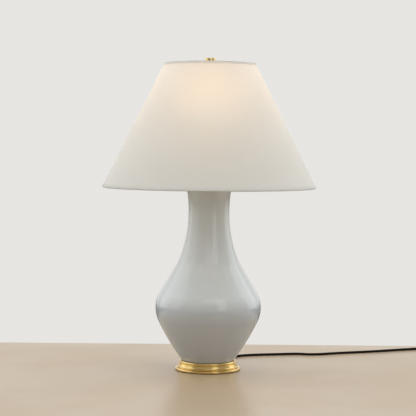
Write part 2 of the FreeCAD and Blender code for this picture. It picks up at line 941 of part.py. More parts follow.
def harp_points():
    foot = dim("harp_half_foot").value
    low = saddle_height().value + dim("saddle_thick").value + dim("saddle_post").value
    right = [
        (foot, 0.0, low + dim("harp_foot_gap").value),
        (foot, 0.0, dim("harp_leg_top").value),
        (dim("harp_half_width").value, 0.0, dim("harp_low_bend").value),
        (dim("harp_high_half").value, 0.0, dim("harp_high_bend").value),
        (dim("harp_upper_half").value, 0.0, dim("harp_upper_bend").value),
        (dim("harp_top_half").value, 0.0, dim("harp_top").value),
    ]
    left = [(-x, y, z) for x, y, z in reversed(right)]
    return right + left


def harp_wire():
    """The wire loop, from the left foot over the top to the right foot."""
    path, radii = rounded_path(harp_points())
    print("harp bends", [round(radius, 1) for radius in radii])
    return keep(tube("harp_loop", path, dim("wire_r").value), "harp_wire")


def harp_seat(wire):
    """Button on the wire's top with the stud that the shade and finial go on."""
    low = dim("seat_low")
    edge = dim("seat_edge")
    flat = dim("seat_high") - low
    seat = turned_body("seat_body", [
        (0, 0),
        (dim("seat_r") - edge, 0),
        (dim("seat_r"), edge),
        (dim("seat_r"), flat),
        (dim("stud_r"), flat),
        (dim("stud_r"), dim("stud_high") - low),
        (0, dim("stud_high") - low),
    ])
    place(seat, z=low)
    keep(cut("seat_cut", seat, wire), "harp_seat")


def harp_sleeve(side, name):
    """Loose sleeve over a leg of the harp and its post."""
    bore = dim("wire_r") + dim("sleeve_gap")
    sleeve = ring("sleeve_" + name, bore, dim("sleeve_r"), dim("sleeve_length"))
    low = saddle_height() + dim("saddle_thick") + dim("face_gap")
    keep(place(sleeve, x=dim("harp_half_foot") * side, z=low), "harp_sleeve_" + name)


def stud_hole():
    return dim("stud_r") + dim("stud_clearance")


def stud_washer(name, low):
    washer = ring(name + "_body", stud_hole(), dim("small_washer_r"), dim("small_washer_thick"))
    keep(place(washer, z=low), name)


def finial():
    """Turned brass button with a short neck and a blind threaded hole."""
    low = spider_top() + dim("face_gap") * 2 + dim("small_washer_thick")
    full = dim("finial_height")
    edge = dim("finial_edge")
    neck = dim("finial_neck")
    radius = dim("finial_r")
    hole = dim("stud_r") + dim("stud_fit")
    body = turned_body("finial_body", [
        (hole, 0),
        (dim("finial_neck_r"), 0),
        (dim("finial_neck_r"), neck - edge),
        (radius - edge, neck + edge, radius - dim("finial_neck_r"), RIGHT),
        (radius, neck + edge * 2, edge, LEFT),
        (radius, full - edge),
        (radius - edge, full, edge, LEFT),
        (0, full),
        (0, dim("finial_bore")),
        (hole, dim("finial_bore")),
    ])
    keep(place(body, z=low), "finial")


def spider_top():
    return dim("spider_height") + dim("spider_hub_half")


def on_shade(along, out):
    """A point of the shade's section: along its slope from the lower edge, and
    out from its outer face."""
    run = dim("shade_low_r") - dim("shade_high_r")
    rise = dim("shade_high") - dim("shade_low")
    slope = root(run * run + rise * rise)
    inward, upward = run / slope, rise / slope
    return (dim("shade_low_r") - along * inward + out * upward,
            dim("shade_low") + along * upward + out * inward)


def shade_length():
    run = dim("shade_low_r") - dim("shade_high_r")
    rise = dim("shade_high") - dim("shade_low")
    return root(run * run + rise * rise)


def ring_wire_centre(name):
    """Distance from the axis and height of a ring wire, top or bottom."""
    inset = dim("ring_wire_r") + dim("ring_slack")
    along = inset if name == "bottom" else shade_length() - inset
    return on_shade(along, -(dim("skin_thick") + dim("ring_inset")))


def shade_ring(name):
    radius, height = ring_wire_centre(name)
    hoop = primitive("Part::Torus", "hoop_" + name, Radius1=radius, Radius2=dim("ring_wire_r"))
    return place(hoop, z=height)


def spider_disc(name, radius, half):
    """A disc about the middle height of the spider."""
    disc = cylinder(name, radius, half * 2)
    return place(disc, z=dim("spider_height") - half)


def shade_hub():
    """Washer shaped hub that the arms are welded to."""
    half = dim("spider_hub_half")
    disc = spider_disc("hub_disc", dim("spider_hub_r"), half)
    keep(cut("hub_cut", disc, spider_disc("hub_bore", stud_hole(), half)), "shade_hub")


def shade_spider():
    """Top ring with its arms, which end at the rim of the hub."""
    radius, height = ring_wire_centre("top")
    centre = dim("spider_height").value
    arm_path = rounded_path([
        (dim("spider_hub_r").value - dim("ring_wire_r").value, 0.0, centre),
        (dim("spider_bend_r").value, 0.0, centre),
        (radius.value, 0.0, height.value),
    ])[0]
    welded = [shade_ring("top")]
    count = int(dim("spider_arms").value)
    for number in range(count):
        arm = tube("spider_arm_" + str(number), arm_path, dim("ring_wire_r").value)
        turn = FreeCAD.Rotation(UP, 90 + 360 * number / count)
        arm.Placement = FreeCAD.Placement(Vector(), turn)
        welded.append(arm)
    room = spider_disc("hub_room", dim("spider_hub_r"), dim("ring_wire_r") * 2)
    keep(cut("spider_cut", fused("spider_welded", welded), room), "shade_spider")


def shade_bottom_ring():
    keep(shade_ring("bottom"), "shade_bottom_ring")


def shade_skin():
    """Cloth cone on its stiff liner."""
    length = shade_length()
    thick = dim("skin_thick")
    skin = turned_body("skin_body", [
        on_shade(sized(0), -thick),
        on_shade(sized(0), sized(0)),
        on_shade(length, sized(0)),
        on_shade(length, -thick),
    ])
    keep(skin, "shade_skin")


def tape_outline(at, fold):
    """Section of a tape. at turns a distance from the edge that the tape folds
    over into a place along the slope, and fold is its way round the ring."""
    tape = dim("tape_thick")
    width = dim("tape_width")
    return [
        on_shade(at(sized(0)), sized(0)),
        on_shade(at(sized(0)), -dim("tape_inner")),
        *[on_shade(at(along), out) for along, out in fold],
        on_shade(at(-tape), tape),
        on_shade(at(width), tape),
        on_shade(at(width), sized(0)),
    ]


def shade_bottom_tape():
    """Tape that wraps the lower ring and turns up inside it."""
    tape = dim("tape_thick")
    inner = dim("tape_inner")
    back = dim("tape_return")
    fold = [(back, -inner), (back, -(inner + tape)), (-tape, -(inner + tape))]
    keep(turned_body("low_tape", tape_outline(lambda along: along, fold)), "shade_bottom_tape")


def shade_top_tape():
    """Tape that folds over the upper ring."""
    length = shade_length()
    fold = [(-dim("tape_thick"), -dim("tape_inner"))]
    outline = tape_outline(lambda along: length - along, fold)
    keep(turned_body("high_tape", outline), "shade_top_tape")


def inner_lead():
    """The two conductors, as one round lead from the bushing up the pipe."""
    low = dim("lead_low").value
    exit_height = dim("exit_height").value
    points = [
        (0.0, dim("bushing_end").value, exit_height),
        (0.0, dim("lead_straight_y").value, exit_height),
        (0.0, dim("lead_low_y").value, low),
        (0.0, 0.0, low - dim("lead_dip").value),
        (0.0, 0.0, low + dim("lead_rise").value),
    ]
    path, radii = rounded_path(points)
    print("lead bends", [round(radius, 1) for radius in radii])
    top = Vector(0, 0, dim("block_low").value)
    edges = path.OrderedEdges
    edges.append(Part.LineSegment(Vector(*points[-1]), top).toShape())
    keep(tube("lead", Part.Wire(edges), dim("lead_r").value), "inner_lead")


def cord_run():
    """The cord on the table, from the bushing to the coil."""
    path, radii = rounded_path(CORD_ROUTE)
    print("cord bends", [round(radius) for radius in radii])
    print("cord run length", round(path.Length))
    keep(tube("cord_tube", path, dim("cord_r").value), "cord_run")


def coil_frame():
    """Start of the coil, its heading and the centre of its turns."""
    before, start = Vector(*CORD_ROUTE[-2]), Vector(*CORD_ROUTE[-1])
    heading = math.atan2(start.y - before.y, start.x - before.x)
    centre = start + Vector(math.sin(heading), -math.cos(heading), 0) * dim("coil_r").value
    return heading, centre


def coil_point(turn):
    """Centre line of the coil after some turns: in, up a layer, and out."""
    heading, centre = coil_frame()
    half = dim("coil_turns").value / 2
    step = dim("coil_turns").value / dim("coil_steps").value
    away = abs(turn - half)
    steady = away if away > step else (away ** 2 / step + step) / 2
    radius = dim("coil_r").value - dim("coil_pitch").value * (half - steady)
    climb = min(max((turn - half) / step / 2 + 0.5, 0), 1)
    height = dim("coil_rise").value * climb ** 2 * (3 - 2 * climb)
    angle = heading + math.pi / 2 - 2 * math.pi * turn
    return centre + Vector(radius * math.cos(angle), radius * math.sin(angle), height)


def biarc(start, into, end, out):
    """Two arcs that join a start and an end with the headings given there."""
    chord = end - start
    both = into + out
    spread = 2 * (1 - into.dot(out))
    reach = (math.sqrt(chord.dot(both) ** 2 + spread * chord.dot(chord)) - chord.dot(both)) / spread
    first_corner = start + into * reach
    second_corner = end - out * reach
    middle = (first_corner + second_corner) / 2
    return [bent_arc(start, first_corner, middle), bent_arc(middle, second_corner, end)]


def least_gap(path, radius):
    """Smallest gap between stretches of a tube that aren't neighbours."""
    points = path.discretize(Distance=radius)
    neighbours = 5
    least = min((points[i] - points[j]).Length
                for i in range(len(points)) for j in range(i + neighbours, len(points)))
    return least - 2 * radius


def coil_heading(turn):
    """Direction of the coil's centre line after some turns."""
    little = 1e-4
    return (coil_point(turn + little) - coil_point(turn - little)).normalize()


def cord_coil():
    """The spare cord, wound in two layers, and its straight tail to the plug."""
    turns = dim("coil_turns").value
    steps = int(dim("coil_steps").value)
    places = [turns * number / steps for number in range(steps + 1)]
    points = [coil_point(turn) for turn in places]
    headings = [coil_heading(turn) for turn in places]
    heading = coil_frame()[0]
    headings[0] = Vector(math.cos(heading), math.sin(heading), 0)
    edges = []
    for index in range(steps):
        edges += biarc(points[index], headings[index], points[index + 1], headings[index + 1])
    end = points[-1] + headings[-1] * dim("coil_tail").value
    edges.append(Part.LineSegment(points[-1], end).toShape())
    path = Part.Wire(edges)
    radius = dim("cord_r").value
    gap = least_gap(path, radius)
    print("coil length", round(path.Length), "least gap", round(gap, 2))
    if gap < dim("coil_least_gap").value:
        raise ValueError("the coil's turns are too close")
    keep(tube("coil_tube", path, radius), "cord_coil")
    return end, headings[-1]


def plug_body(end, heading):
    """Flat moulded plug with a tapered relief, lying on the table."""
    relief = dim("relief_length")
    length = dim("plug_length")
    half_width = dim("plug_half_width")
    shoulder = dim("plug_shoulder")
    body = doc.addObject("PartDesign::Body", "plug_moulding")
    top_view = new_sketch(body, "plug_outline", "XY_Plane")
    draw_outline(top_view, [
        (relief - shoulder / 2, dim("relief_r")),
        (relief + shoulder, half_width, shoulder * 2, LEFT),
        (relief + length, half_width),
        (relief + length, -half_width),
        (relief + shoulder, -half_width),
        (relief - shoulder / 2, -dim("relief_r"), shoulder * 2, LEFT),
    ])
    pad = body.newObject("PartDesign::Pad", "plug_block")
    pad.Profile = top_view
    pad.Midplane = True
    bind(pad, Length=dim("plug_half_height") * 2)
    doc.recompute()
    fillet = body.newObject("PartDesign::Fillet", "plug_rounding")
    rims = [number for number, edge in enumerate(pad.Shape.Edges, start=1)
            if abs(abs(edge.CenterOfMass.z) - dim("plug_half_height").value) < EDGE_ERROR]
    fillet.Base = (pad, ["Edge" + str(number) for number in rims])
    bind(fillet, Radius=dim("plug_edge"))
    body.Tip = fillet
    sleeve = turned_body("plug_relief", [
        (0, 0),
        (dim("relief_end_r"), 0),
        (dim("relief_r"), relief),
        (0, relief),
    ])
    place(sleeve, rotation=TOWARDS_RIGHT)
    moulding = fused("plug_whole", [body, sleeve])
    moulding.Placement = FreeCAD.Placement(end, heading)
    keep(moulding, "plug_body")


def plug_blades(end, heading):
    """Two flat blades with a hole near each end."""
    start = dim("relief_length") + dim("plug_length")
    thick = dim("blade_thick")
    width = dim("blade_width")
    spacing = dim("blade_spacing")
    hole_x = start + dim("blade_length") - dim("blade_hole_from_end")
    blades = []
    for side, name in ((-1, "left"), (1, "right")):
        blade = primitive("Part::Box", "blade_" + name, Length=dim("blade_length"),
                          Width=thick, Height=width)
        place(blade, x=start, y=(spacing * side - thick) / 2, z=-width / 2)
        hole = cylinder("blade_hole_" + name, dim("blade_hole_r"), spacing)
        place(hole, x=hole_x, y=spacing * (side - 1) / 2, rotation=TOWARDS_BACK)
        blades.append(cut("blade_cut_" + name, blade, hole))
    pair = doc.addObject("Part::Compound", "blade_pair")
    pair.Links = blades
    pair.Placement = FreeCAD.Placement(end, heading)
    keep(pair, "plug_blades")


def cord():
    """The whole cord: its run, its coil and the plug on its end."""
    cord_run()
    end, direction = cord_coil()
    heading = FreeCAD.Rotation(UP, math.degrees(math.atan2(direction.y, direction.x)))
    plug_body(end, heading)
    plug_blades(end, heading)



def check_and_write():
    doc.recompute()
    for obj in doc.Objects:
        if "Invalid" in obj.State or "Error" in obj.State:
            raise ValueError(obj.Label + " failed: " + str(obj.State))
    for piece in pieces:
        shape = piece.Shape
        if shape.isNull() or not shape.isValid():
            raise ValueError(piece.Label + " has a bad shape")
    os.makedirs("parts", exist_ok=True)
    for piece in pieces:
        piece.Shape.exportStep("parts/" + piece.Label + ".step")
    print(len(pieces), "pieces written")


fill_sheet()

# The standing part, from the table up
felt_pad()
weight_plate()
base_ring()
cord_bushing()
foot_gasket()
vase()
threaded_pipe()
pipe_washer()
pipe_nut()
inner_lead()
vase_cap()
neck_spacer()
harp_saddle()

# The socket, its key and the bulb
socket_cap()
socket_shell()
socket_liner()
socket_block()
screw_shell()
centre_contact()
terminal_screws()
switch_stem()
switch_knob()
bulb_tip()
bulb_cap()
bulb_glass()

# The harp and what it carries
harp_seat(harp_wire())
harp_sleeve(-1, "left")
harp_sleeve(1, "right")
stud_washer("seat_washer", dim("seat_high") + dim("face_gap") / 2)
shade_hub()
shade_spider()
shade_bottom_ring()
shade_skin()
shade_bottom_tape()
shade_top_tape()
stud_washer("finial_washer", spider_top() + dim("face_gap"))
finial()

cord()
check_and_write()
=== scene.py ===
import math

import bmesh
import bpy
from bpy.props import (
    FloatProperty,
    FloatVectorProperty,
    IntProperty,
    PointerProperty,
)
from mathutils import Euler, Matrix, Vector


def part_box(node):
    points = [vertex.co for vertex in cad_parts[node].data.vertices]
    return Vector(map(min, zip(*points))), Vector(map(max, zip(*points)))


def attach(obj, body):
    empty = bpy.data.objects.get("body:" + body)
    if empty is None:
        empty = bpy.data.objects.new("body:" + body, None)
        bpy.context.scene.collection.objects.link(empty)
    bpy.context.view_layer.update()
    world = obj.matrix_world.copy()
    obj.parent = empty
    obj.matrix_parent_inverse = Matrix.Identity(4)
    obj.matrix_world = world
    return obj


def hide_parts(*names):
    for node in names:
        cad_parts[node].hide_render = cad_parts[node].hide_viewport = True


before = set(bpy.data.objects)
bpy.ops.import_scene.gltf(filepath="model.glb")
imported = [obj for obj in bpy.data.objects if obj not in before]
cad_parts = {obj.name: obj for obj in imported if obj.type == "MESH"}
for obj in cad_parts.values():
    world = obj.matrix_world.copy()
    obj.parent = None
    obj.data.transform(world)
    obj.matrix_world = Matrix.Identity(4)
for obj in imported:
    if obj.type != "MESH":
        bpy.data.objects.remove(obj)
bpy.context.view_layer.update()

bl_info = {
    "name": "Ceramic table lamp",
    "version": (1, 0, 0),
    "blender": (4, 5, 0),
    "location": "3D View > Sidebar > Table lamp",
    "description": "Dresses a ceramic table lamp with its finishes, shade, cord and studio",
    "category": "Object",
}

MM = 0.001

# The camera of the photograph: where its horizon lies and how much one pixel covers.
PHOTO_SIZE = 416
PHOTO_FOCAL = 1360.0
PHOTO_HORIZON = 141.8
SENSOR_MM = 36.0

# The cord's route over the table in metres, as the source of the part has it.
CORD_ROUTE = [
    (0.000, 0.096, 0.0113),
    (0.000, 0.118, 0.0113),
    (0.014, 0.136, 0.0070),
    (0.038, 0.148, 0.0030),
    (0.062, 0.163, 0.0030),
    (0.082, 0.193, 0.0030),
    (0.124, 0.208, 0.0030),
    (0.176, 0.219, 0.0030),
    (0.228, 0.232, 0.0030),
    (0.270, 0.218, 0.0030),
    (0.330, 0.246, 0.0030),
    (0.396, 0.268, 0.0030),
    (0.452, 0.290, 0.0030),
    (0.504, 0.314, 0.0030),
    (0.548, 0.332, 0.0030),
    (0.582, 0.344, 0.0030),
]
COIL_POINTS_PER_TURN = 24

# The outer face of the vase in millimetres: arcs that run into each other, from the foot up.
# Angles are in degrees from outward.
LOWER_RADIUS, BELLY_RADIUS, BOWL_RADIUS = 515.0, 74.0, 100.0
NECK_RADIUS, MOUTH_RADIUS = 310.0, 40.0
BELLY_CENTRE, NECK_CENTRE = (51.3, 148.5), (358.6, 378.0)
BELLY_LOW, BELLY_HIGH, NECK_LOW, NECK_HIGH, MOUTH_EDGE = -24.6, 30.85, 22.0, -9.65, -42.0
FOOT_LEVEL, INNER_FLOOR, LIP_LEVEL = 20.3, 27.0, 452.0

# Heights and radii of the bulb in millimetres.
CAP_LOW, CAP_HIGH, CAP_RADIUS = 517.6, 541.0, 13.05
THREAD_LOW, THREAD_HIGH, THREAD_PITCH, THREAD_DEPTH = 521.5, 537.5, 3.629, 0.75
GLOBE_LEVEL, GLOBE_RADIUS, FLANK_RADIUS, GLASS_NECK = 594.0, 30.0, 60.0, 13.6

# Metres: a point nearer to the axis than the first lies on it, and the bulb's light stands over
# the glass by the second.
ON_AXIS = 1e-6
BULB_LIGHT_RISE = 0.02

# The soft lights: place, height they aim at, size, and the settings of power and colour.
PANELS = {
    "left_panel": ((-2.2, 0.9, 1.2), 0.4, (1.5, 2.4), "left", "cool"),
    "right_panel": ((2.2, 0.9, 1.2), 0.4, (1.6, 2.4), "right", "cool"),
    "left_window": ((-2.44, -0.56, 1.25), 0.4, (1.4, 2.2), "window", "cool"),
    "right_window": ((1.27, -2.15, 1.25), 0.4, (0.9, 2.2), "window", "cool"),
    "front_panel": ((0.3, -3.0, 2.4), 0.35, (2.0, 1.2), "front", "warm"),
}
FLOOR_CORNERS = [(-2.2, -0.9), (2.2, -0.9), (2.2, 0.40), (-2.2, 0.40)]
FLOOR_THICKNESS = 0.04


class VaseSettings(bpy.types.PropertyGroup):
    """The glazed body."""

    glaze: FloatVectorProperty(
        name="Glaze", description="Colour of the glaze where it is thick",
        subtype="COLOR", size=3, min=0, max=1, default=(0.645, 0.69, 0.715))
    thin_glaze: FloatVectorProperty(
        name="Thin glaze", description="Colour where the glaze breaks thin over an edge",
        subtype="COLOR", size=3, min=0, max=1, default=(0.70, 0.73, 0.735))
    # Painted shade: the colour the lower body is darkened to, standing in for the shade that falls
    # there.
    painted_shade_glaze: FloatVectorProperty(
        name="Painted shade glaze", description="Colour where the glaze has run thick, below the belly",
        subtype="COLOR", size=3, min=0, max=1, default=(0.38, 0.40, 0.44))
    # Height below which the painted shade darkens the lower body.
    painted_shade_height: FloatProperty(
        name="Break height", description="Height at which the glaze turns thick",
        unit="LENGTH", default=152 * MM)
    gloss: FloatProperty(
        name="Roughness", description="Roughness of the glaze", min=0, max=1, default=0.09)
    wall: FloatProperty(
        name="Wall", description="Thickness of the thrown wall", unit="LENGTH", default=7 * MM)
    steps: IntProperty(
        name="Steps round", description="Facets round the body", min=32, default=160)


class ShadeSettings(bpy.types.PropertyGroup):
    """The fabric shade."""

    linen: FloatVectorProperty(
        name="Linen", description="Colour of the cloth",
        subtype="COLOR", size=3, min=0, max=1, default=(0.91, 0.92, 0.915))
    trim: FloatVectorProperty(
        name="Trim", description="Colour of the folded tapes",
        subtype="COLOR", size=3, min=0, max=1, default=(0.93, 0.935, 0.93))
    liner: FloatVectorProperty(
        name="Liner", description="Colour of the stiff inner face",
        subtype="COLOR", size=3, min=0, max=1, default=(0.88, 0.87, 0.84))
    see_through: FloatProperty(
        name="Light through the cloth", description="Share of the light that passes the cloth",
        min=0, max=1, default=0.27)
    trim_through: FloatProperty(
        name="Light through the tape",
        description="Share of the light that passes each face of the tape",
        min=0, max=1, default=0.6)
    passed: FloatVectorProperty(
        name="Passed light", description="Colour the cloth gives to the light that passes it",
        subtype="COLOR", size=3, min=0, max=1, default=(0.90, 0.83, 0.71))
    thread: FloatProperty(
        name="Thread", description="Distance between two threads", unit="LENGTH", default=0.9 * MM)
    low_radius: FloatProperty(
        name="Lower radius", description="Of the cloth", unit="LENGTH", default=253.6 * MM)
    high_radius: FloatProperty(
        name="Upper radius", description="Of the cloth", unit="LENGTH", default=107.6 * MM)
    low: FloatProperty(
        name="Lower edge", description="Height of the cloth's lower edge", unit="LENGTH",
        default=435.4 * MM)
    high: FloatProperty(
        name="Upper edge", description="Height of the cloth's upper edge", unit="LENGTH",
        default=727.6 * MM)
    seam: FloatProperty(
        name="Seam", description="Width of the lapped seam at the back", unit="LENGTH",
        default=11 * MM)
    steps: IntProperty(
        name="Steps round", description="Facets round the shade", min=32, default=192)


class MetalSettings(bpy.types.PropertyGroup):
    """Brass and the other metals."""

    brass: FloatVectorProperty(
        name="Brass", description="Colour of the polished brass",
        subtype="COLOR", size=3, min=0, max=1, default=(0.83, 0.60, 0.235))
    old_brass: FloatVectorProperty(
        name="Toned brass", description="Colour of the brass in its grooves",
        subtype="COLOR", size=3, min=0, max=1, default=(0.46, 0.29, 0.10))
    polish: FloatProperty(
        name="Roughness", description="Roughness of the polished faces", min=0, max=1, default=0.16)


class CordSettings(bpy.types.PropertyGroup):
    """The cord, its coil and its plug."""

    diameter: FloatProperty(
        name="Diameter", description="Outside diameter of the cord", unit="LENGTH", default=6 * MM)
    colour: FloatVectorProperty(
        name="Braid", description="Colour of the braided cover",
        subtype="COLOR", size=3, min=0, max=1, default=(0.010, 0.008, 0.007))
    fleck: FloatVectorProperty(
        name="Fleck", description="Colour of the lighter strands",
        subtype="COLOR", size=3, min=0, max=1, default=(0.030, 0.024, 0.020))
    coil_radius: FloatProperty(
        name="Coil radius", description="Centre line of the outermost turn",
        unit="LENGTH", default=42.2 * MM)
    coil_pitch: FloatProperty(
        name="Coil pitch", description="Distance between turns side by side",
        unit="LENGTH", default=6.6 * MM)
    coil_rise: FloatProperty(
        name="Coil rise", description="Distance between the two layers",
        unit="LENGTH", default=6.5 * MM)
    coil_turns: FloatProperty(
        name="Coil turns", description="Turns in both layers together", default=5.375)
    coil_climb: FloatProperty(
        name="Coil climb", description="Half the climb between the layers, in turns",
        default=0.244)
    tail: FloatProperty(
        name="Tail", description="Straight cord between the coil and the plug",
        unit="LENGTH", default=28 * MM)
    length: FloatProperty(
        name="Length", description="Length of the whole cord outside the lamp",
        unit="LENGTH", default=1.81)


class StageSettings(bpy.types.PropertyGroup):
    """Camera, floor and light."""

    distance: FloatProperty(
        name="Camera distance", description="From the camera to the lamp's axis",
        unit="LENGTH", default=3.228)
    height: FloatProperty(
        name="Camera height", description="Above the table", unit="LENGTH", default=0.5425)
    aside: FloatProperty(
        name="Camera offset", description="From the middle, to the left",
        unit="LENGTH", default=2.4 * MM)
    roll: FloatProperty(
        name="Camera roll", description="Turn about the line of sight",
        subtype="ANGLE", default=math.radians(0.5))
    floor: FloatVectorProperty(
        name="Floor", description="Colour of the floor",
        subtype="COLOR", size=3, min=0, max=1, default=(0.50, 0.375, 0.25))
    backdrop: FloatVectorProperty(
        name="Backdrop", description="Colour behind the lamp",
        subtype="COLOR", size=3, min=0, max=1, default=(0.80, 0.785, 0.76))
    cool: FloatVectorProperty(
        name="Cool light", description="Colour of the light from the sides and from behind",
        subtype="COLOR", size=3, min=0, max=1, default=(0.90, 0.965, 1.0))
    warm: FloatVectorProperty(
        name="Warm light", description="Colour of the light from the camera's side",
        subtype="COLOR", size=3, min=0, max=1, default=(1.0, 0.95, 0.87))
    ambient: FloatProperty(
        name="Ambient", description="Strength of the even light behind and beside the lamp",
        min=0, default=0.92)
    shadow_side: FloatProperty(
        name="Camera side", description="Strength of the even light from the camera's side",
        min=0, default=0.50)
    below: FloatProperty(
        name="From below",
        description="Share of the even light that comes from under the table's edge",
        min=0, max=1, default=0.15)
    above: FloatProperty(
        name="From above",
        description="How much stronger the even light is overhead than at the horizon",
        min=0, default=1.35)
    window: FloatProperty(
        name="Windows", description="Power of each of the two tall windows", min=0, default=6.0)
    mirrored_side: FloatProperty(
        name="Mirrored camera side",
        description="Share of the backdrop that metal shows of the camera's side",
        min=0, max=1, default=0.45)
    left: FloatProperty(
        name="Left light", description="Power of the left panel", min=0, default=8.5)
    right: FloatProperty(
        name="Right light", description="Power of the right panel", min=0, default=10.0)
    front: FloatProperty(
        name="Front light", description="Power of the weak front panel", min=0, default=4.0)
    bulb: FloatProperty(
        name="Bulb", description="Power of the light inside the shade", min=0, default=0.66)


class LampSettings(bpy.types.PropertyGroup):
    """All settings of the lamp."""

    vase: PointerProperty(type=VaseSettings)
    shade: PointerProperty(type=ShadeSettings)
    metal: PointerProperty(type=MetalSettings)
    cord: PointerProperty(type=CordSettings)
    stage: PointerProperty(type=StageSettings)


def settings():
    """All settings, as the panel shows them."""
    return bpy.context.scene.table_lamp


# Shader helpers


class Nodes:
    """Short ways to add and join nodes of one tree."""

    def __init__(self, tree, clear=True):
        self.tree = tree
        if clear:
            self.tree.nodes.clear()

    @classmethod
    def of(cls, tree):
        """The nodes that a tree has already."""
        return cls(tree, clear=False)

    def first(self, kind):
        return next(node for node in self.tree.nodes if node.type == kind)

    def add(self, kind, **values):
        node = self.tree.nodes.new(kind)
        for name, value in values.items():
            setattr(node, name, value)
        return node

    def join(self, source, target):
        self.tree.links.new(source, target)

    def put(self, socket, value):
        if isinstance(value, bpy.types.NodeSocket):
            self.join(value, socket)
        elif socket.type == "RGBA" and len(value) == 3:
            socket.default_value = (*value, 1.0)
        else:
            socket.default_value = value

    def maths(self, operation, first, second=0.0, clamp=False):
        node = self.add("ShaderNodeMath", operation=operation, use_clamp=clamp)
        self.put(node.inputs[0], first)
        self.put(node.inputs[1], second)
        return node.outputs[0]

    def plus(self, first, second):
        return self.maths("ADD", first, second)

    def minus(self, first, second):
        return self.maths("SUBTRACT", first, second)

    def times(self, first, second, clamp=False):
        return self.maths("MULTIPLY", first, second, clamp)

    def parts(self, vector):
        """The outputs X, Y and Z of a vector."""
        node = self.add("ShaderNodeSeparateXYZ")
        self.put(node.inputs[0], vector)
        return node.outputs

    def noise(self, vector, scale, detail=3.0, roughness=0.55):
        node = self.add("ShaderNodeTexNoise")
        self.put(node.inputs["Vector"], vector)
        self.put(node.inputs["Scale"], scale)
        self.put(node.inputs["Detail"], detail)
        self.put(node.inputs["Roughness"], roughness)
        return node.outputs["Fac"]

    def steps(self, value, low, high, out_low=0.0, out_high=1.0, smooth=True):
        kind = "SMOOTHSTEP" if smooth else "LINEAR"
        node = self.add("ShaderNodeMapRange", interpolation_type=kind, clamp=True)
        names = ("Value", "From Min", "From Max", "To Min", "To Max")
        for name, number in zip(names, (value, low, high, out_low, out_high)):
            self.put(node.inputs[name], number)
        return node.outputs["Result"]

    def mix(self, factor, first, second):
        node = self.add("ShaderNodeMix", data_type="RGBA")
        self.put(node.inputs["Factor"], factor)
        self.put(node.inputs["A"], first)
        self.put(node.inputs["B"], second)
        return node.outputs["Result"]

    def scaled(self, vector, factors):
        node = self.add("ShaderNodeVectorMath", operation="MULTIPLY")
        self.put(node.inputs[0], vector)
        node.inputs[1].default_value = factors
        return node.outputs[0]

    def place(self):
        """Coordinates in metres, which stay on the piece when it moves."""
        return self.add("ShaderNodeTexCoord").outputs["Object"]

    def round_place(self, vector, around):
        """Coordinates (angle x around, height, distance from the axis)."""
        across, along, up = self.parts(vector)
        angle = self.maths("ARCTAN2", along, across)
        squares = self.plus(self.maths("POWER", across, 2.0), self.maths("POWER", along, 2.0))
        joined = self.add("ShaderNodeCombineXYZ")
        self.put(joined.inputs[0], self.times(angle, around))
        self.put(joined.inputs[1], up)
        self.put(joined.inputs[2], self.maths("SQRT", squares))
        return joined.outputs[0]


def new_group(name, inputs, passed=False):
    """A shader node group that gives a colour, a height and a roughness, and the colour of
    passed light where asked. Inputs are names and defaults."""
    tree = bpy.data.node_groups.new(name, "ShaderNodeTree")
    nodes = Nodes(tree)
    for label, value in inputs.items():
        coloured = isinstance(value, tuple)
        socket = tree.interface.new_socket(
            label, in_out="INPUT",
            socket_type="NodeSocketColor" if coloured else "NodeSocketFloat")
        socket.default_value = (*value, 1.0) if coloured else value
    given_out = {"Colour": "Color", "Height": "Float", "Roughness": "Float"}
    if passed:
        given_out["Passed"] = "Color"
    for label, kind in given_out.items():
        tree.interface.new_socket(label, in_out="OUTPUT", socket_type="NodeSocket" + kind)
    return tree, nodes, nodes.add("NodeGroupInput").outputs, nodes.add("NodeGroupOutput").inputs


def glaze_group():
    """Glaze that pools, breaks thin over edges and carries specks, with painted shade that darkens
    it low down.
    """
    tree, nodes, given, out = new_group(
        "glaze_pooling",
        {"Colour": (0.5, 0.5, 0.5), "Thin colour": (0.6, 0.6, 0.6),
         "Deep colour": (0.4, 0.4, 0.4), "Break height": 152 * MM, "Pool size": 30.0,
         "Speck size": 900.0, "Roughness": 0.09})
    place = nodes.place()
    pool = nodes.noise(place, given["Pool size"], 4.0, 0.5)
    drift = nodes.noise(nodes.scaled(place, (1.0, 1.0, 0.35)), 9.0, 3.0, 0.5)
    thin = nodes.steps(nodes.plus(nodes.times(pool, 0.5), nodes.times(drift, 0.5)), 0.46, 0.66)
    pooled = nodes.mix(nodes.times(thin, 0.35), given["Colour"], given["Thin colour"])
    specks = nodes.steps(nodes.noise(place, given["Speck size"], 2.0, 0.7), 0.68, 0.78)
    specked = nodes.mix(nodes.times(specks, 0.10), pooled, (0.22, 0.22, 0.21))
    # Painted shade: darker below the painted shade height, with a faint painted reflection line
    # where it turns.
    above = nodes.minus(nodes.parts(place)["Z"], given["Break height"])
    low = nodes.steps(above, -14 * MM, 26 * MM, 1.0, 0.0)
    # Painted reflection: a faint dark line at the painted shade height, where the table's edge is
    # mirrored.
    line = nodes.steps(nodes.maths("ABSOLUTE", above), 0.0, 5 * MM, 0.35, 0.0)
    shaded_glaze = nodes.mix(0.55, specked, given["Deep colour"])
    nodes.put(out["Colour"], nodes.mix(nodes.maths("MAXIMUM", low, line), specked, shaded_glaze))
    ripple = nodes.noise(nodes.scaled(place, (1.0, 1.0, 3.0)), 26.0, 2.0, 0.45)
    nodes.put(out["Height"], nodes.plus(nodes.times(ripple, 0.8), nodes.times(pool, 0.2)))
    nodes.put(out["Roughness"], nodes.times(
        given["Roughness"], nodes.steps(drift, 0.3, 0.7, 0.8, 1.3)))
    return tree


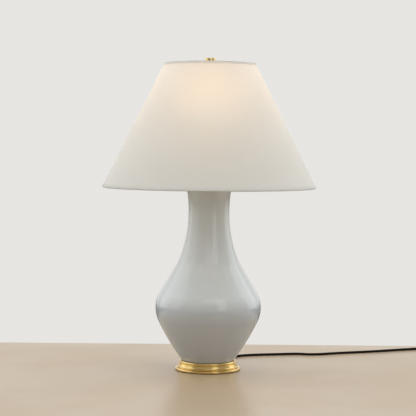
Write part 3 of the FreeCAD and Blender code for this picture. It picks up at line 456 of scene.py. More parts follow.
def linen_group():
    """Plain weave with slubs, laid round an upright axis."""
    tree, nodes, given, out = new_group(
        "linen_weave",
        {"Colour": (0.8, 0.8, 0.8), "Passed light": (0.8, 0.7, 0.6), "Thread": 0.9 * MM,
         "Around": 0.18}, passed=True)
    place = nodes.round_place(nodes.place(), given["Around"])
    ways = nodes.parts(place)
    turn = nodes.maths("DIVIDE", math.tau, given["Thread"])
    wobble = nodes.times(nodes.noise(place, 90.0, 2.0), 2.4)

    def threads(way):
        wave = nodes.maths("SINE", nodes.plus(nodes.times(way, turn), wobble))
        return nodes.times(nodes.maths("ABSOLUTE", wave), 0.5)

    weave = nodes.plus(threads(ways["X"]), threads(ways["Y"]))
    slub_up = nodes.noise(nodes.scaled(place, (1.0, 0.06, 1.0)), 700.0, 2.0, 0.6)
    slub_round = nodes.noise(nodes.scaled(place, (0.06, 1.0, 1.0)), 700.0, 2.0, 0.6)
    slub = nodes.steps(nodes.maths("MAXIMUM", slub_up, slub_round), 0.55, 0.78)
    thick = nodes.minus(1.0, nodes.times(slub, 0.03))
    gaps = nodes.times(nodes.minus(1.0, weave), 0.05)

    def shaded(colour, value):
        node = nodes.add("ShaderNodeHueSaturation")
        nodes.put(node.inputs["Color"], colour)
        nodes.put(node.inputs["Value"], value)
        return node.outputs[0]

    nodes.put(out["Colour"], shaded(given["Colour"], nodes.minus(thick, gaps)))
    nodes.put(out["Passed"], shaded(
        given["Passed light"], nodes.minus(1.0, nodes.times(slub, 0.08))))
    nodes.put(out["Height"], nodes.plus(weave, nodes.times(slub, 0.7)))
    nodes.put(out["Roughness"], nodes.steps(slub, 0.0, 1.0, 0.92, 0.78))
    return tree


def turned_group():
    """Turned and polished metal: fine rings, toned grooves and handling marks."""
    tree, nodes, given, out = new_group(
        "turned_metal",
        {"Colour": (0.8, 0.6, 0.3), "Tone": (0.5, 0.3, 0.1), "Roughness": 0.15,
         "Tone amount": 0.35})
    place = nodes.place()
    turned_place = nodes.scaled(nodes.round_place(place, 0.02), (0.15, 1.0, 1.0))
    cloud = nodes.noise(place, 42.0, 4.0, 0.6)
    edge = nodes.add("ShaderNodeNewGeometry").outputs["Pointiness"]
    hollow = nodes.steps(edge, 0.40, 0.5, 1.0, 0.0)
    stained = nodes.plus(nodes.times(hollow, 0.7), nodes.steps(cloud, 0.5, 0.75, 0.0, 0.35))
    tone = nodes.times(stained, given["Tone amount"], clamp=True)
    nodes.put(out["Colour"], nodes.mix(tone, given["Colour"], given["Tone"]))
    rough = nodes.times(given["Roughness"], nodes.steps(cloud, 0.3, 0.75, 0.8, 1.5))
    nodes.put(out["Roughness"], nodes.plus(rough, nodes.times(tone, 0.12)))
    nodes.put(out["Height"], nodes.noise(turned_place, 3800.0, 2.0, 0.6))
    return tree


def grain_group():
    """Fine moulded or felted grain with a little dust."""
    tree, nodes, given, out = new_group(
        "fine_grain",
        {"Colour": (0.1, 0.1, 0.1), "Light colour": (0.2, 0.2, 0.2), "Scale": 1200.0,
         "Roughness": 0.6})
    place = nodes.place()
    grain = nodes.noise(place, given["Scale"], 4.0, 0.7)
    cloud = nodes.noise(place, nodes.times(given["Scale"], 0.05), 3.0, 0.5)
    dust = nodes.plus(nodes.steps(grain, 0.45, 0.75, 0.0, 0.5),
                      nodes.steps(cloud, 0.5, 0.75, 0.0, 0.3))
    nodes.put(out["Colour"], nodes.mix(dust, given["Colour"], given["Light colour"]))
    nodes.put(out["Height"], grain)
    nodes.put(out["Roughness"], nodes.plus(
        given["Roughness"], nodes.steps(cloud, 0.35, 0.7, -0.06, 0.08)))
    return tree


def braid_group():
    """Crossed strands of a braided cover."""
    tree, nodes, given, out = new_group(
        "braided_cover",
        {"Colour": (0.02, 0.02, 0.02), "Fleck": (0.06, 0.05, 0.04), "Strand": 1.1 * MM})
    place = nodes.place()
    across, along, up = nodes.parts(place)
    level = nodes.plus(across, along)
    turn = nodes.maths("DIVIDE", math.tau, given["Strand"])
    rising = nodes.maths("SINE", nodes.times(nodes.plus(level, up), turn))
    falling = nodes.maths("SINE", nodes.times(nodes.minus(level, up), turn))
    weave = nodes.times(rising, falling)
    strands = nodes.noise(place, 2600.0, 3.0, 0.7)
    flecks = nodes.steps(nodes.plus(nodes.times(weave, 0.3), strands), 0.5, 0.95)
    nodes.put(out["Colour"], nodes.mix(flecks, given["Colour"], given["Fleck"]))
    nodes.put(out["Height"], nodes.plus(weave, strands))
    nodes.put(out["Roughness"], nodes.steps(strands, 0.3, 0.7, 0.62, 0.85))
    return tree


GROUP_MAKERS = {
    "glaze_pooling": glaze_group,
    "linen_weave": linen_group,
    "turned_metal": turned_group,
    "fine_grain": grain_group,
    "braided_cover": braid_group,
}


def group_tree(name):
    return bpy.data.node_groups.get(name) or GROUP_MAKERS[name]()


def patterned(name, group, inputs, bump, bump_distance, **shader):
    """A material whose colour, roughness and bump come from one node group."""
    material = bpy.data.materials.get(name)
    if material:
        return material
    material = bpy.data.materials.new(name)
    material.use_nodes = True
    nodes = Nodes(material.node_tree)
    pattern = nodes.add("ShaderNodeGroup", node_tree=group_tree(group))
    for label, value in inputs.items():
        nodes.put(pattern.inputs[label], value)
    surface = nodes.add("ShaderNodeBsdfPrincipled")
    nodes.put(surface.inputs["Base Color"], pattern.outputs["Colour"])
    nodes.put(surface.inputs["Roughness"], pattern.outputs["Roughness"])
    if bump:
        relief = nodes.add("ShaderNodeBump")
        relief.inputs["Strength"].default_value = bump
        relief.inputs["Distance"].default_value = bump_distance
        nodes.put(relief.inputs["Height"], pattern.outputs["Height"])
        nodes.put(surface.inputs["Normal"], relief.outputs["Normal"])
    for label, value in shader.items():
        nodes.put(surface.inputs[label], value)
    nodes.put(nodes.add("ShaderNodeOutputMaterial").inputs["Surface"], surface.outputs[0])
    return material


def turned(name, colour, tone, roughness, bump):
    """Turned metal that is toned in its grooves."""
    return patterned(
        name, "turned_metal", {"Colour": colour, "Tone": tone, "Roughness": roughness},
        bump, 0.05 * MM, Metallic=1.0)


def grained(name, colour, light_colour, scale, roughness, bump, depth=0.05, **shader):
    """Fine grain with lighter dust on it."""
    return patterned(
        name, "fine_grain",
        {"Colour": colour, "Light colour": light_colour, "Scale": scale, "Roughness": roughness},
        bump, depth * MM, **shader)


def glaze_material():
    vase = settings().vase
    return patterned(
        "pale_glaze", "glaze_pooling",
        # The painted shade colour and its height darken the lower body as painted shade.
        {"Colour": vase.glaze, "Thin colour": vase.thin_glaze, "Deep colour": vase.painted_shade_glaze,
         "Break height": vase.painted_shade_height, "Roughness": vase.gloss},
        0.12, 0.4 * MM,
        **{"IOR": 1.52, "Coat Weight": 0.35, "Coat Roughness": 0.04, "Coat IOR": 1.5})


def brass_material():
    metal = settings().metal
    return turned("polished_brass", metal.brass, metal.old_brass, metal.polish, 0.05)


def floor_material():
    floor = settings().stage.floor
    return grained("pale_floor", floor, tuple(share * 1.04 for share in floor), 60.0, 0.34, 0.0,
                   **{"Coat Weight": 0.2, "Coat Roughness": 0.15})


# Colour, tone in the grooves, roughness, strength of the turned rings.
METALS = {
    "plated_steel": ((0.62, 0.62, 0.60), (0.30, 0.30, 0.29), 0.28, 0.08),
    "bright_contacts": ((0.80, 0.66, 0.40), (0.45, 0.32, 0.16), 0.24, 0.06),
    "rolled_aluminium": ((0.80, 0.80, 0.79), (0.50, 0.50, 0.50), 0.30, 0.06),
}

# Colour, lighter colour, scale, roughness, strength of the relief and its depth in millimetres.
GRAINS = {
    "biscuit_clay": ((0.58, 0.53, 0.46), (0.68, 0.64, 0.57), 900.0, 0.8, 0.3, 0.2),
    "white_enamel": ((0.80, 0.79, 0.76), (0.85, 0.84, 0.82), 600.0, 0.35, 0.08),
    "black_moulding": ((0.018, 0.017, 0.016), (0.05, 0.048, 0.045), 1600.0, 0.45, 0.15),
    "plug_moulding": ((0.018, 0.017, 0.016), (0.05, 0.048, 0.045), 1600.0, 0.45, 0.15),
    "soft_rubber": ((0.020, 0.019, 0.018), (0.06, 0.057, 0.053), 1100.0, 0.68, 0.2, 0.06),
    "pressed_felt": ((0.025, 0.024, 0.023), (0.10, 0.095, 0.09), 2200.0, 0.9, 0.7, 0.25),
    "pressed_board": ((0.36, 0.27, 0.17), (0.52, 0.42, 0.29), 1500.0, 0.85, 0.4, 0.1),
    "lead_cover": ((0.62, 0.58, 0.48), (0.72, 0.69, 0.60), 900.0, 0.5, 0.1),
}
SHEEN = {"pressed_felt": {"Sheen Weight": 0.4, "Sheen Roughness": 0.5}}


def finish(name):
    """The material of a name in METALS or GRAINS."""
    if name in METALS:
        return turned(name, *METALS[name])
    return grained(name, *GRAINS[name], **SHEEN.get(name, {}))


def cord_material():
    cord = settings().cord
    return patterned(
        "braided_cord", "braided_cover", {"Colour": cord.colour, "Fleck": cord.fleck},
        0.5, 0.25 * MM, **{"Specular IOR Level": 0.1})


def lit_through(material, share):
    """Let a share of the light pass a cloth and spread on its far side."""
    nodes = Nodes.of(material.node_tree)
    surface = nodes.first("BSDF_PRINCIPLED")
    pattern = nodes.first("GROUP")
    passed = nodes.add("ShaderNodeBsdfTranslucent")
    nodes.put(passed.inputs["Color"], pattern.outputs["Passed"])
    mixed = nodes.add("ShaderNodeMixShader")
    mixed.inputs["Fac"].default_value = share
    nodes.join(surface.outputs[0], mixed.inputs[1])
    nodes.join(passed.outputs[0], mixed.inputs[2])
    nodes.join(mixed.outputs[0], nodes.first("OUTPUT_MATERIAL").inputs["Surface"])
    return material


def linen_material():
    shade = settings().shade
    cloth = patterned(
        "fine_linen", "linen_weave",
        {"Colour": shade.linen, "Passed light": shade.passed, "Thread": shade.thread},
        0.25, 0.12 * MM, **{"Specular IOR Level": 0.1, "Transmission Weight": 0.16})
    return lit_through(cloth, shade.see_through)


def trim_material():
    shade = settings().shade
    cloth = patterned(
        "folded_tape", "linen_weave",
        {"Colour": shade.trim, "Passed light": shade.trim, "Thread": shade.thread},
        0.35, 0.15 * MM, **{"Specular IOR Level": 0.1})
    return lit_through(cloth, shade.trim_through)


def liner_material():
    """The stiff liner lets part of the bulb's light reach the cloth."""
    return grained("shade_liner", settings().shade.liner, (0.92, 0.91, 0.89),
                   scale=500.0, roughness=0.7, bump=0.05,
                   **{"Alpha": 0.45, "Specular IOR Level": 0.2})


def bulb_material():
    return grained("frosted_bulb", (0.90, 0.88, 0.82), (0.94, 0.93, 0.90),
                   scale=500.0, roughness=0.45, bump=0.03,
                   **{"Emission Color": (1.0, 0.80, 0.55), "Emission Strength": 2.5})


# Mesh helpers


def ride_as(piece, body, stands_for=()):
    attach(piece, body)
    if stands_for:
        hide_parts(*stands_for)
    return piece


def object_from(name, bm, materials, sharp_angle=35.0):
    """Turn a bmesh into a smooth shaded object whose hard edges stay sharp."""
    bmesh.ops.recalc_face_normals(bm, faces=bm.faces)
    mesh = bpy.data.meshes.new(name)
    bm.to_mesh(mesh)
    bm.free()
    mesh.polygons.foreach_set("use_smooth", [True] * len(mesh.polygons))
    mesh.set_sharp_from_angle(angle=math.radians(sharp_angle))
    for material in materials:
        mesh.materials.append(material)
    obj = bpy.data.objects.new(name, mesh)
    bpy.context.scene.collection.objects.link(obj)
    return obj


def from_centre(centre, distance, degrees):
    """The point of a profile at a distance from a centre, in degrees from outward."""
    angle = math.radians(degrees)
    return centre[0] + distance * math.cos(angle), centre[1] + distance * math.sin(angle)


def arc(centre, radius, start, end, count):
    """Points of an arc of a profile, angles in degrees from outward."""
    return [from_centre(centre, radius, start + (end - start) * number / count)
            for number in range(count + 1)]


def softened(profile, radius, count=3):
    """Round every corner of a closed profile that turns by more than a little."""
    least_turn = math.radians(25)
    most_of_edge = 0.4
    soft = []
    for index, point in enumerate(profile):
        corner = Vector(point)
        into = corner - Vector(profile[index - 1])
        out = Vector(profile[(index + 1) % len(profile)]) - corner
        turn = into.angle(out, 0.0)
        if turn < least_turn or corner.x < ON_AXIS:
            soft.append(tuple(corner))
            continue
        reach = min(radius * math.tan(turn / 2), into.length * most_of_edge,
                    out.length * most_of_edge)
        start = corner - into.normalized() * reach
        end = corner + out.normalized() * reach
        for number in range(count + 1):
            share = number / count
            first, second = start.lerp(corner, share), corner.lerp(end, share)
            soft.append(tuple(first.lerp(second, share)))
    return soft


def in_metres(points, rise=0.0):
    """A profile in millimetres as one in metres, raised by some millimetres."""
    return [(distance * MM, (level + rise) * MM) for distance, level in points]


def on_shade(along, out):
    """A point of the shade's section in metres, from millimetres along its slope from the
    lower edge, and out from its outer face."""
    shade = settings().shade
    run, rise = shade.low_radius - shade.high_radius, shade.high - shade.low
    slope = math.hypot(run, rise)
    inward, upward = run / slope, rise / slope
    return (shade.low_radius - along * MM * inward + out * MM * upward,
            shade.low + along * MM * upward + out * MM * inward)


def shade_slope():
    """Length of the shade's slope in millimetres."""
    shade = settings().shade
    return math.hypot(shade.low_radius - shade.high_radius, shade.high - shade.low) / MM


def bridge(bm, rows, closed):
    """Faces between rows of points that have as many points each."""
    for low, high in zip(rows, rows[1:]):
        for number in range(len(low) - (not closed)):
            after = (number + 1) % len(low)
            bm.faces.new((low[number], low[after], high[after], high[number]))


def lathe(name, profile, materials, steps=96, index_of=None, wobble=None):
    """Turn a closed profile of (distance, height) about the Z axis.

    index_of gives a face's material index from its place in the profile, and
    wobble moves a point by (distance, height, angle).
    """
    bm = bmesh.new()
    rows = []
    for distance, height in profile:
        if distance < ON_AXIS:
            rows.append([bm.verts.new((0.0, 0.0, height))] * steps)
            continue
        row = []
        for step in range(steps):
            angle = math.tau * step / steps
            far, high = wobble(distance, height, angle) if wobble else (distance, height)
            row.append(bm.verts.new((far * math.cos(angle), far * math.sin(angle), high)))
        rows.append(row)
    for index, low in enumerate(rows):
        high = rows[(index + 1) % len(rows)]
        if low[0] is low[1] and high[0] is high[1]:
            continue
        for step in range(steps):
            following = (step + 1) % steps
            corners = [low[step], low[following], high[following], high[step]]
            face = bm.faces.new(list(dict.fromkeys(corners)))
            if index_of:
                face.material_index = index_of(index)
    return object_from(name, bm, materials)


def dress(material, *names):
    """Give CAD nodes a finish through their own material slots."""
    for name in names:
        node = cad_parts[name]
        node.data.materials.clear()
        node.data.materials.append(material)
        for polygon in node.data.polygons:
            polygon.material_index = 0


# Operators


class LAMP_OT_camera(bpy.types.Operator):
    """Place the camera where the photograph was taken from"""

    bl_idname = "table_lamp.camera"
    bl_label = "Camera"

    def execute(self, context):
        stage = settings().stage
        data = bpy.data.cameras.new("camera")
        data.sensor_width = SENSOR_MM
        data.lens = PHOTO_FOCAL / PHOTO_SIZE * SENSOR_MM
        data.clip_end = 100.0
        camera = bpy.data.objects.new("camera", data)
        context.scene.collection.objects.link(camera)
        pitch = math.atan((PHOTO_SIZE / 2 - PHOTO_HORIZON) / PHOTO_FOCAL)
        look = Euler((math.pi / 2 - pitch, 0.0, 0.0)).to_matrix().to_4x4()
        camera.matrix_world = (Matrix.Translation((-stage.aside, -stage.distance, stage.height))
                               @ look @ Matrix.Rotation(stage.roll, 4, "Z"))
        context.scene.camera = camera
        return {"FINISHED"}


def coil_points(cord):
    """Centre line of the wound cord, two layers in and out again and the tail, and its heading."""
    before, start = Vector(CORD_ROUTE[-2]), Vector(CORD_ROUTE[-1])
    heading = math.atan2(start.y - before.y, start.x - before.x)
    centre = start + Vector((math.sin(heading), -math.cos(heading), 0.0)) * cord.coil_radius
    half = cord.coil_turns / 2
    climb = cord.coil_climb

    def point(turn):
        away = abs(turn - half)
        steady = away if away > climb else (away ** 2 / climb + climb) / 2
        radius = cord.coil_radius - cord.coil_pitch * (half - steady)
        share = min(max((turn - half) / climb / 2 + 0.5, 0.0), 1.0)
        height = cord.coil_rise * share ** 2 * (3 - 2 * share)
        angle = heading + math.pi / 2 - math.tau * turn
        return centre + Vector((radius * math.cos(angle), radius * math.sin(angle), height))

    count = round(cord.coil_turns * COIL_POINTS_PER_TURN)
    points = [point(cord.coil_turns * number / count) for number in range(1, count + 1)]
    last = (points[-1] - point(cord.coil_turns - 0.001)).normalized()
    points.append(points[-1] + last * cord.tail)
    return points, last


def plug_section(along):
    """Half width, half height and squareness of the plug, in millimetres from its cord end."""
    relief_width, relief_growth, relief_length, relief_groove = 3.8, 1.2, 18.0, 0.45
    block_width, block_height, grip_depth = 12.5, 8.8, 0.5
    length, rounding = 47.0, 1.4
    swell = min(max((along - 15.0) / 12.0, 0.0), 1.0)
    swell = swell * swell * (3 - 2 * swell)
    relief = relief_width + relief_growth * min(along / relief_length, 1.0)
    if along < 14.0:
        relief -= relief_groove * (math.sin(along * math.tau / 3.5) > 0.45)
    wide = relief + (block_width - relief) * swell
    high = relief + (block_height - relief) * min(swell * 1.25, 1.0)
    if 31.0 < along < 43.0:
        wide -= grip_depth * (0.5 + 0.5 * math.sin(along * math.tau / 2.5))
    past = max(0.0, along - (length - rounding)) / rounding
    shrink = rounding * (1 - math.sqrt(max(0.0, 1 - past * past)))
    return wide - shrink, high - shrink, 2.0 / (2.0 + 2.6 * swell)


def plug_moulding(end, heading):
    """Moulded plug: a ribbed relief that swells into a gripped block."""
    stations, spacing, around = 95, 0.5, 48
    bm = bmesh.new()
    rows = []
    for station in range(stations):
        along = station * spacing
        wide, high, power = plug_section(along)
        row = []
        for step in range(around):
            angle = math.tau * step / around
            across, up = math.cos(angle), math.sin(angle)
            across = math.copysign(abs(across) ** power, across) * wide
            up = math.copysign(abs(up) ** power, up) * high
            row.append(bm.verts.new((along * MM, across * MM, up * MM)))
        rows.append(row)
    bridge(bm, rows, closed=True)
    bm.faces.new(rows[0])
    bm.faces.new(rows[-1])
    turn = Matrix.Rotation(math.atan2(heading.y, heading.x), 4, "Z")
    bmesh.ops.transform(bm, matrix=Matrix.Translation(end) @ turn, verts=bm.verts)
    return object_from("moulded_plug", bm, [finish("plug_moulding")], 50.0)


class LAMP_OT_cord(bpy.types.Operator):
    """Lay the cord on the table, wind its spare length and add the plug"""

    bl_idname = "table_lamp.cord"
    bl_label = "Cord and plug"

    def execute(self, context):
        cord = settings().cord
        wound, heading = coil_points(cord)
        points = [Vector(point) for point in CORD_ROUTE] + wound
        curve = bpy.data.curves.new("cord", "CURVE")
        curve.dimensions = "3D"
        spline = curve.splines.new("NURBS")
        spline.points.add(len(points) - 1)
        for target, point in zip(spline.points, points):
            target.co = (*point, 1.0)
        spline.order_u = 3
        spline.use_endpoint_u = True
        spline.resolution_u = 6
        curve.bevel_depth = cord.diameter / 2
        curve.bevel_resolution = 5
        curve.use_fill_caps = True
        curve.materials.append(cord_material())
        piece = bpy.data.objects.new("cord", curve)
        context.scene.collection.objects.link(piece)
        ride_as(piece, "lamp_body", ("cord_run", "cord_coil"))
        plug = plug_moulding(points[-1], heading)
        ride_as(plug, "lamp_body", ("plug_body",))
        dress(finish("bright_contacts"), "plug_blades")
        dress(finish("soft_rubber"), "cord_bushing")
        return {"FINISHED"}


def vase_wall(inset=0.0):
    """Rising points of the vase's wall in millimetres, moved into it by inset."""
    lower = from_centre(BELLY_CENTRE, BELLY_RADIUS - LOWER_RADIUS, BELLY_LOW)
    bowl = from_centre(NECK_CENTRE, BOWL_RADIUS - NECK_RADIUS, NECK_LOW)
    mouth = from_centre(NECK_CENTRE, MOUTH_RADIUS - NECK_RADIUS, NECK_HIGH)
    lowest = INNER_FLOOR if inset else FOOT_LEVEL
    start = math.degrees(math.asin((lowest - lower[1]) / (LOWER_RADIUS - inset)))
    finish = MOUTH_EDGE
    if inset:
        finish = -math.degrees(math.asin((LIP_LEVEL - mouth[1]) / (MOUTH_RADIUS + inset)))
    return [
        *arc(lower, LOWER_RADIUS - inset, start, BELLY_LOW, 26),
        *arc(BELLY_CENTRE, BELLY_RADIUS - inset, BELLY_LOW, BELLY_HIGH, 30)[1:],
        *arc(bowl, -(BOWL_RADIUS + inset), BELLY_HIGH, NECK_LOW, 8),
        *arc(NECK_CENTRE, -(NECK_RADIUS + inset), NECK_LOW, NECK_HIGH, 36)[1:],
        *arc(mouth, -(MOUTH_RADIUS + inset), NECK_HIGH, finish, 14)[1:],
    ]


class LAMP_OT_vase(bpy.types.Operator):
    """Throw and glaze the body"""

    bl_idname = "table_lamp.vase"
    bl_label = "Vase"

    def execute(self, context):
        vase = settings().vase
        outside = vase_wall()
        inside = vase_wall(vase.wall / MM)
        edge = outside[-1][0]
        lip = [(edge + 0.5, 450.6), (edge + 0.1, 451.5), (edge - 0.9, LIP_LEVEL)]
        foot = [(6.2, 21.0), (44.6, 21.0), (47.0, 19.2), (47.6, 19.0), (56.9, 19.0), (57.5, 19.2)]
        profile = [*foot, *outside, *lip, *inside[::-1], (6.2, INNER_FLOOR)]
        bare = len(foot) - 1
        body = lathe("glazed_body", in_metres(profile), [glaze_material(), finish("biscuit_clay")],
                     vase.steps, index_of=lambda index: 1 if index < bare else 0)
        ride_as(body, "lamp_body", ("vase",))
        dress(finish("soft_rubber"), "foot_gasket")
        return {"FINISHED"}


class LAMP_OT_base(bpy.types.Operator):
    """Polish the base and line it with felt"""

    bl_idname = "table_lamp.base"
    bl_label = "Base"

    def execute(self, context):
        bead = arc((75.7, 3.6), 2.8, -90, 90, 14)
        band = [(71.3, 9.4), (70.5, 9.9), (69.9, 10.7), (69.5, 12.2), (69.1, 14.3), (68.9, 15.6),
                (68.2, 16.2)]
        lip = [(66.6, 17.0), (67.3, 17.5), (67.8, 18.4), (68.0, 19.5), (67.9, 20.8), (67.4, 21.9),
               (66.5, 22.7), (65.2, 23.0)]
        groove = [(72.4, 6.4), (71.5, 6.6), (71.5, 7.2), (72.6, 7.4), (72.6, 8.9)]
        inner = [(63.0, 23.0), (63.0, 18.0), (5.4, 18.0), (5.4, 16.3), (64.0, 16.3), (64.0, 3.6),
                 (74.3, 3.6)]
        profile = [(74.3, 0.8), *bead, *groove, *band, (66.6, 16.3), *lip, *inner]
        base = lathe("turned_base", softened(in_metres(profile), 0.35 * MM), [brass_material()],
                     steps=160)
        ride_as(base, "lamp_body", ("base_ring",))
        dress(finish("pressed_felt"), "felt_pad")
        dress(finish("plated_steel"), "weight_plate", "pipe_nut", "pipe_washer", "threaded_pipe")
        dress(finish("lead_cover"), "inner_lead")
        return {"FINISHED"}


def socket_cup():
    """Brass cup of the socket with a rounded shoulder and a crimped band."""
    centre = (12.6, 487.3)
    collar = [(18.6, 491.5), (18.1, 492.0), (18.1, 492.8), (18.6, 493.3), (18.6, 496.6),
              (18.2, 497.0)]
    profile = [(5.4, 477.5), (9.0, 477.5), (9.0, 481.3), *arc(centre, 6.0, -90, 0, 10), *collar,
               (17.9, 497.0), (17.9, 487.3), *arc(centre, 5.3, 0, -90, 10), (5.4, 482.0)]
    crimp_level, crimp_reach, crimp_depth = 494.9 * MM, 1.8 * MM, 0.25 * MM
    crimps = 60

    def crimp(distance, height, angle):
        if distance < 18.3 * MM:
            return distance, height
        near = max(0.0, 1.0 - abs(height - crimp_level) / crimp_reach)
        return distance - crimp_depth * near * (0.5 + 0.5 * math.cos(angle * crimps)), height

    return lathe("socket_cup", in_metres(profile), [brass_material()], steps=360, wobble=crimp)


class LAMP_OT_socket(bpy.types.Operator):
    """Finish the cap, the socket and its key"""

    bl_idname = "table_lamp.socket"
    bl_label = "Socket"

    def execute(self, context):
        ride_as(socket_cup(), "lamp_body", ("socket_cap",))
        dress(brass_material(), "vase_cap", "neck_spacer", "socket_shell")
        dress(finish("plated_steel"), "harp_saddle", "socket_set_screw", "switch_stem")
        dress(finish("pressed_board"), "socket_liner")
        dress(finish("black_moulding"), "socket_block", "switch_knob")
        dress(finish("bright_contacts"), "screw_shell", "centre_contact", "terminal_screws")
        return {"FINISHED"}


def bulb_cap():
    """Screw cap with a rolled thread above a dark insulating cone."""
    rows = [CAP_LOW + 3.0 + 0.45 * number for number in range(46)]
    wall = [(CAP_RADIUS, level) for level in rows if level < CAP_HIGH - 0.1]
    profile = [(0.0, CAP_LOW), (8.6, CAP_LOW), (9.0, 517.8), *wall, (CAP_RADIUS, CAP_HIGH),
               (0.0, CAP_HIGH)]

    def thread(distance, height, angle):
        if distance < 12.9 * MM:
            return distance, height
        turns = height / (THREAD_PITCH * MM)
        into, out = turns - THREAD_LOW / THREAD_PITCH, THREAD_HIGH / THREAD_PITCH - turns
        fade = min(max(into, 0.0), max(out, 0.0), 1.0)
        wave = 0.5 - 0.5 * math.cos(math.tau * turns - angle)
        return distance - THREAD_DEPTH * MM * fade * wave, height

    finishes = [finish("rolled_aluminium"), finish("black_moulding")]
    return lathe("bulb_screw_cap", in_metres(profile), finishes, steps=72,
                 index_of=lambda index: 1 if index < 2 else 0, wobble=thread)


def bulb_envelope():
    """Pear shaped glass, closed at its neck."""
    across = GLASS_NECK + FLANK_RADIUS
    rise = math.sqrt((GLOBE_RADIUS + FLANK_RADIUS) ** 2 - across ** 2)
    meet = math.degrees(math.asin(rise / (GLOBE_RADIUS + FLANK_RADIUS)))
    neck = arc((across, GLOBE_LEVEL - rise), -FLANK_RADIUS, 0.0, -meet, 14)
    dome = arc((0.0, GLOBE_LEVEL), GLOBE_RADIUS, -meet, 90, 34)
    profile = [(0.0, 541.2), (13.3, 541.2), *neck, *dome[1:-1], (0.0, GLOBE_LEVEL + GLOBE_RADIUS)]
    return lathe("bulb_envelope", in_metres(profile), [bulb_material()])


class LAMP_OT_bulb(bpy.types.Operator):
    """Make the bulb"""

    bl_idname = "table_lamp.bulb"
    bl_label = "Bulb"

    def execute(self, context):
        glass = bulb_envelope()
        glass.visible_shadow = False
        ride_as(glass, "bulb", ("bulb_glass",))
        ride_as(bulb_cap(), "bulb", ("bulb_cap",))
        dress(finish("plated_steel"), "bulb_tip")
        return {"FINISHED"}


class LAMP_OT_harp(bpy.types.Operator):
    """Finish the harp, its seat and its sleeves"""

    bl_idname = "table_lamp.harp"
    bl_label = "Harp"

    def execute(self, context):
        dress(brass_material(), "harp_wire", "harp_seat", "harp_sleeve_left", "harp_sleeve_right",
              "finial_washer")
        dress(finish("soft_rubber"), "seat_washer")
        return {"FINISHED"}


def back_seam(width):
    """The lapped edge of the cloth, a thin strip down the back of the shade."""
    margin, steps = 2.0, 60
    run = shade_slope() - 2 * margin
    # Share of the width to each side, and millimetres out from the cloth.
    across = [(-0.5, 0.0), (-0.44, 0.3), (-0.36, 0.42), (0.0, 0.46), (0.36, 0.42), (0.44, 0.3),
              (0.5, 0.0)]
    bm = bmesh.new()
    rows = []
    for step in range(steps + 1):
        row = []
        for share, out in across:
            radius, height = on_shade(margin + run * step / steps, out)
            angle = math.pi / 2 + share * width / radius
            row.append(bm.verts.new((radius * math.cos(angle), radius * math.sin(angle), height)))
        rows.append(row)
    bridge(bm, rows, closed=False)
    return object_from("back_seam", bm, [linen_material()], 60.0)


class LAMP_OT_shade(bpy.types.Operator):
    """Sew the shade"""

    bl_idname = "table_lamp.shade"
    bl_label = "Shade"

    def execute(self, context):
        shade = settings().shade
        length = shade_slope()
        rows, liner_depth = 48, 1.0
        outer = [on_shade(length * number / rows, 0.0) for number in range(rows + 1)]
        inner = [on_shade(length * number / rows, -liner_depth) for number in range(rows, -1, -1)]
        cloth = lathe("shade_cloth", outer + inner, [linen_material(), liner_material()],
                      shade.steps, index_of=lambda index: 0 if index < rows else 1)
        ride_as(cloth, "shade", ("shade_skin",))
        seam = ride_as(back_seam(shade.seam), "shade")

        # Each tape's section: millimetres from its edge of the cloth along the slope, and out.
        low_fold = [(0, 0), (0, -3.6), (3, -3.6), (3, -4), (-0.4, -4), (-0.4, 0.4), (6, 0.4),
                    (6, 0)]
        high_fold = [(0, 0), (6, 0), (6, 0.4), (-0.4, 0.4), (-0.4, -3.6), (0, -3.6)]
        low = [on_shade(along, out) for along, out in low_fold]
        high = [on_shade(length - along, out) for along, out in high_fold]
        for name, fold in (("bottom", low), ("top", high)):
            tape = lathe(name + "_tape", softened(fold, 0.5 * MM, 4), [trim_material()],
                         shade.steps)
            ride_as(tape, "shade", ("shade_" + name + "_tape",))
        dress(finish("white_enamel"), "shade_hub", "shade_spider", "shade_bottom_ring")
        return {"FINISHED"}


class LAMP_OT_finial(bpy.types.Operator):
    """Turn the finial"""

    bl_idname = "table_lamp.finial"
    bl_label = "Finial"

    def execute(self, context):
        neck = arc((12.3, 2.8), -6.3, 0, -75, 10)
        profile = [(3.3, 0.0), (6.0, 0.0), *neck, (12.3, 9.4), (12.3, 18.6), (11.9, 19.5),
                   (11.0, 20.0), (0.0, 20.0), (0.0, 14.0), (3.3, 14.0)]
        seat = 720.05
        button = lathe("brass_finial", softened(in_metres(profile, seat), 0.25 * MM),
                       [brass_material()])
        ride_as(button, "finial", ("finial",))
        return {"FINISHED"}


def add_light(light, place):
    """Put a light of the studio in its place."""
    item = bpy.data.objects.new(light.name, light)
    bpy.context.scene.collection.objects.link(item)
    item.location = place
    return item


def add_panel(name, place, aim, size, power, colour):
    """A soft rectangular light that faces the lamp at a height."""
    panel = bpy.data.lights.new(name, "AREA")
    panel.shape = "RECTANGLE"
    panel.size, panel.size_y = size
    panel.energy = power
    panel.color = colour
    way = Vector((0.0, 0.0, aim)) - Vector(place)
    add_light(panel, place).rotation_euler = way.to_track_quat("-Z", "Y").to_euler()


def light_bulb(stage):
    """The light of the lit bulb, over the top of its glass."""
    glow = bpy.data.lights.new("bulb_light", "POINT")
    glow.energy = stage.bulb
    glow.color = (1.0, 0.62, 0.30)
    glow.shadow_soft_size = 0.075
    add_light(glow, (0.0, 0.0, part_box("bulb_glass")[1].z + BULB_LIGHT_RISE))


def seen_or_mirrored(nodes):
    """1 for rays from the camera, and for those off or through a shiny surface."""
    path = nodes.add("ShaderNodeLightPath").outputs
    shiny = nodes.plus(path["Is Glossy Ray"], path["Is Transmission Ray"])
    return nodes.maths("ADD", path["Is Camera Ray"], shiny, clamp=True)


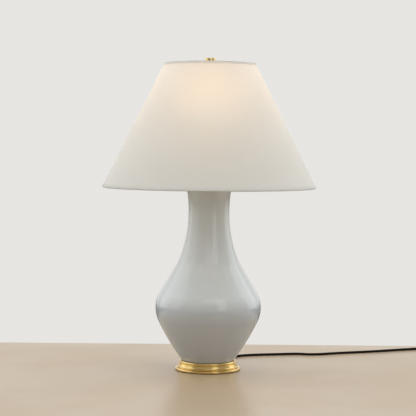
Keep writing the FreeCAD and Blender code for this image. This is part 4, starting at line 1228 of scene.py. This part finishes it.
def make_world(scene, stage):
    """Even light, warm and weak from the camera's side, behind a plain backdrop."""
    scene.world = bpy.data.worlds.new("studio")
    scene.world.use_nodes = True
    nodes = Nodes(scene.world.node_tree)
    direction = nodes.parts(nodes.add("ShaderNodeTexCoord").outputs["Generated"])
    beyond = nodes.steps(direction["Y"], -1.0, 0.2)
    around = nodes.steps(beyond, 0.0, 1.0, stage.shadow_side, stage.ambient, smooth=False)
    under = nodes.steps(direction["Z"], -0.12, 0.0, stage.below, 1.0)
    over = nodes.steps(direction["Z"], 0.0, 0.9, 1.0, stage.above)
    plain = nodes.add("ShaderNodeBackground")
    nodes.put(plain.inputs["Color"], nodes.mix(beyond, stage.warm, stage.cool))
    nodes.put(plain.inputs["Strength"], nodes.times(around, nodes.times(under, over)))
    # Metal shows less of the backdrop on the camera's side and below.
    mirrored = nodes.times(under, nodes.steps(
        direction["Y"], -0.6, 1.0, stage.mirrored_side, 1.0))
    dim = nodes.times(nodes.add("ShaderNodeLightPath").outputs["Is Glossy Ray"],
                      nodes.minus(1.0, mirrored))
    seen = nodes.add("ShaderNodeBackground")
    nodes.put(seen.inputs["Color"], stage.backdrop)
    nodes.put(seen.inputs["Strength"], nodes.minus(1.0, dim))
    chosen = nodes.add("ShaderNodeMixShader")
    nodes.put(chosen.inputs[0], seen_or_mirrored(nodes))
    nodes.join(plain.outputs[0], chosen.inputs[1])
    nodes.join(seen.outputs[0], chosen.inputs[2])
    nodes.join(chosen.outputs[0], nodes.add("ShaderNodeOutputWorld").inputs["Surface"])


def floor_slab():
    """The plain floor, a slab whose top is at height 0."""
    bm = bmesh.new()
    top = bm.faces.new([bm.verts.new((x, y, 0.0)) for x, y in FLOOR_CORNERS])
    grown = bmesh.ops.extrude_face_region(bm, geom=[top])["geom"]
    under = [item for item in grown if isinstance(item, bmesh.types.BMVert)]
    bmesh.ops.translate(bm, verts=under, vec=(0.0, 0.0, -FLOOR_THICKNESS))
    return object_from("floor", bm, [floor_material()])


class LAMP_OT_stage(bpy.types.Operator):
    """Lay the floor and set the lights"""

    bl_idname = "table_lamp.stage"
    bl_label = "Stage"

    def execute(self, context):
        stage = settings().stage
        context.scene.view_settings.view_transform = "Standard"
        make_world(context.scene, stage)
        floor = floor_slab()
        for name, (place, aim, size, power, colour) in PANELS.items():
            add_panel(name, place, aim, size, getattr(stage, power), getattr(stage, colour))
        light_bulb(stage)
        return {"FINISHED"}


class LAMP_PT_panel(bpy.types.Panel):
    """Buttons and settings of the table lamp"""

    bl_idname = "LAMP_PT_panel"
    bl_label = "Table lamp"
    bl_space_type = "VIEW_3D"
    bl_region_type = "UI"
    bl_category = "Table lamp"

    def draw(self, context):
        layout = self.layout
        for operator in OPERATORS:
            layout.operator(operator.bl_idname)
        for part in ("vase", "shade", "metal", "cord", "stage"):
            group = getattr(context.scene.table_lamp, part)
            box = layout.box()
            box.label(text=part.capitalize())
            for name in group.__annotations__:
                box.prop(group, name)


OPERATORS = (
    LAMP_OT_camera,
    LAMP_OT_cord,
    LAMP_OT_vase,
    LAMP_OT_base,
    LAMP_OT_socket,
    LAMP_OT_bulb,
    LAMP_OT_harp,
    LAMP_OT_shade,
    LAMP_OT_finial,
    LAMP_OT_stage,
)

CLASSES = (
    VaseSettings,
    ShadeSettings,
    MetalSettings,
    CordSettings,
    StageSettings,
    LampSettings,
    *OPERATORS,
    LAMP_PT_panel,
)


def register():
    for item in CLASSES:
        bpy.utils.register_class(item)
    bpy.types.Scene.table_lamp = PointerProperty(type=LampSettings)


def unregister():
    del bpy.types.Scene.table_lamp
    for item in reversed(CLASSES):
        bpy.utils.unregister_class(item)


def main():
    register()
    for operator in OPERATORS:
        group, name = operator.bl_idname.split(".")
        getattr(getattr(bpy.ops, group), name)()


if __name__ == "__main__":
    main()
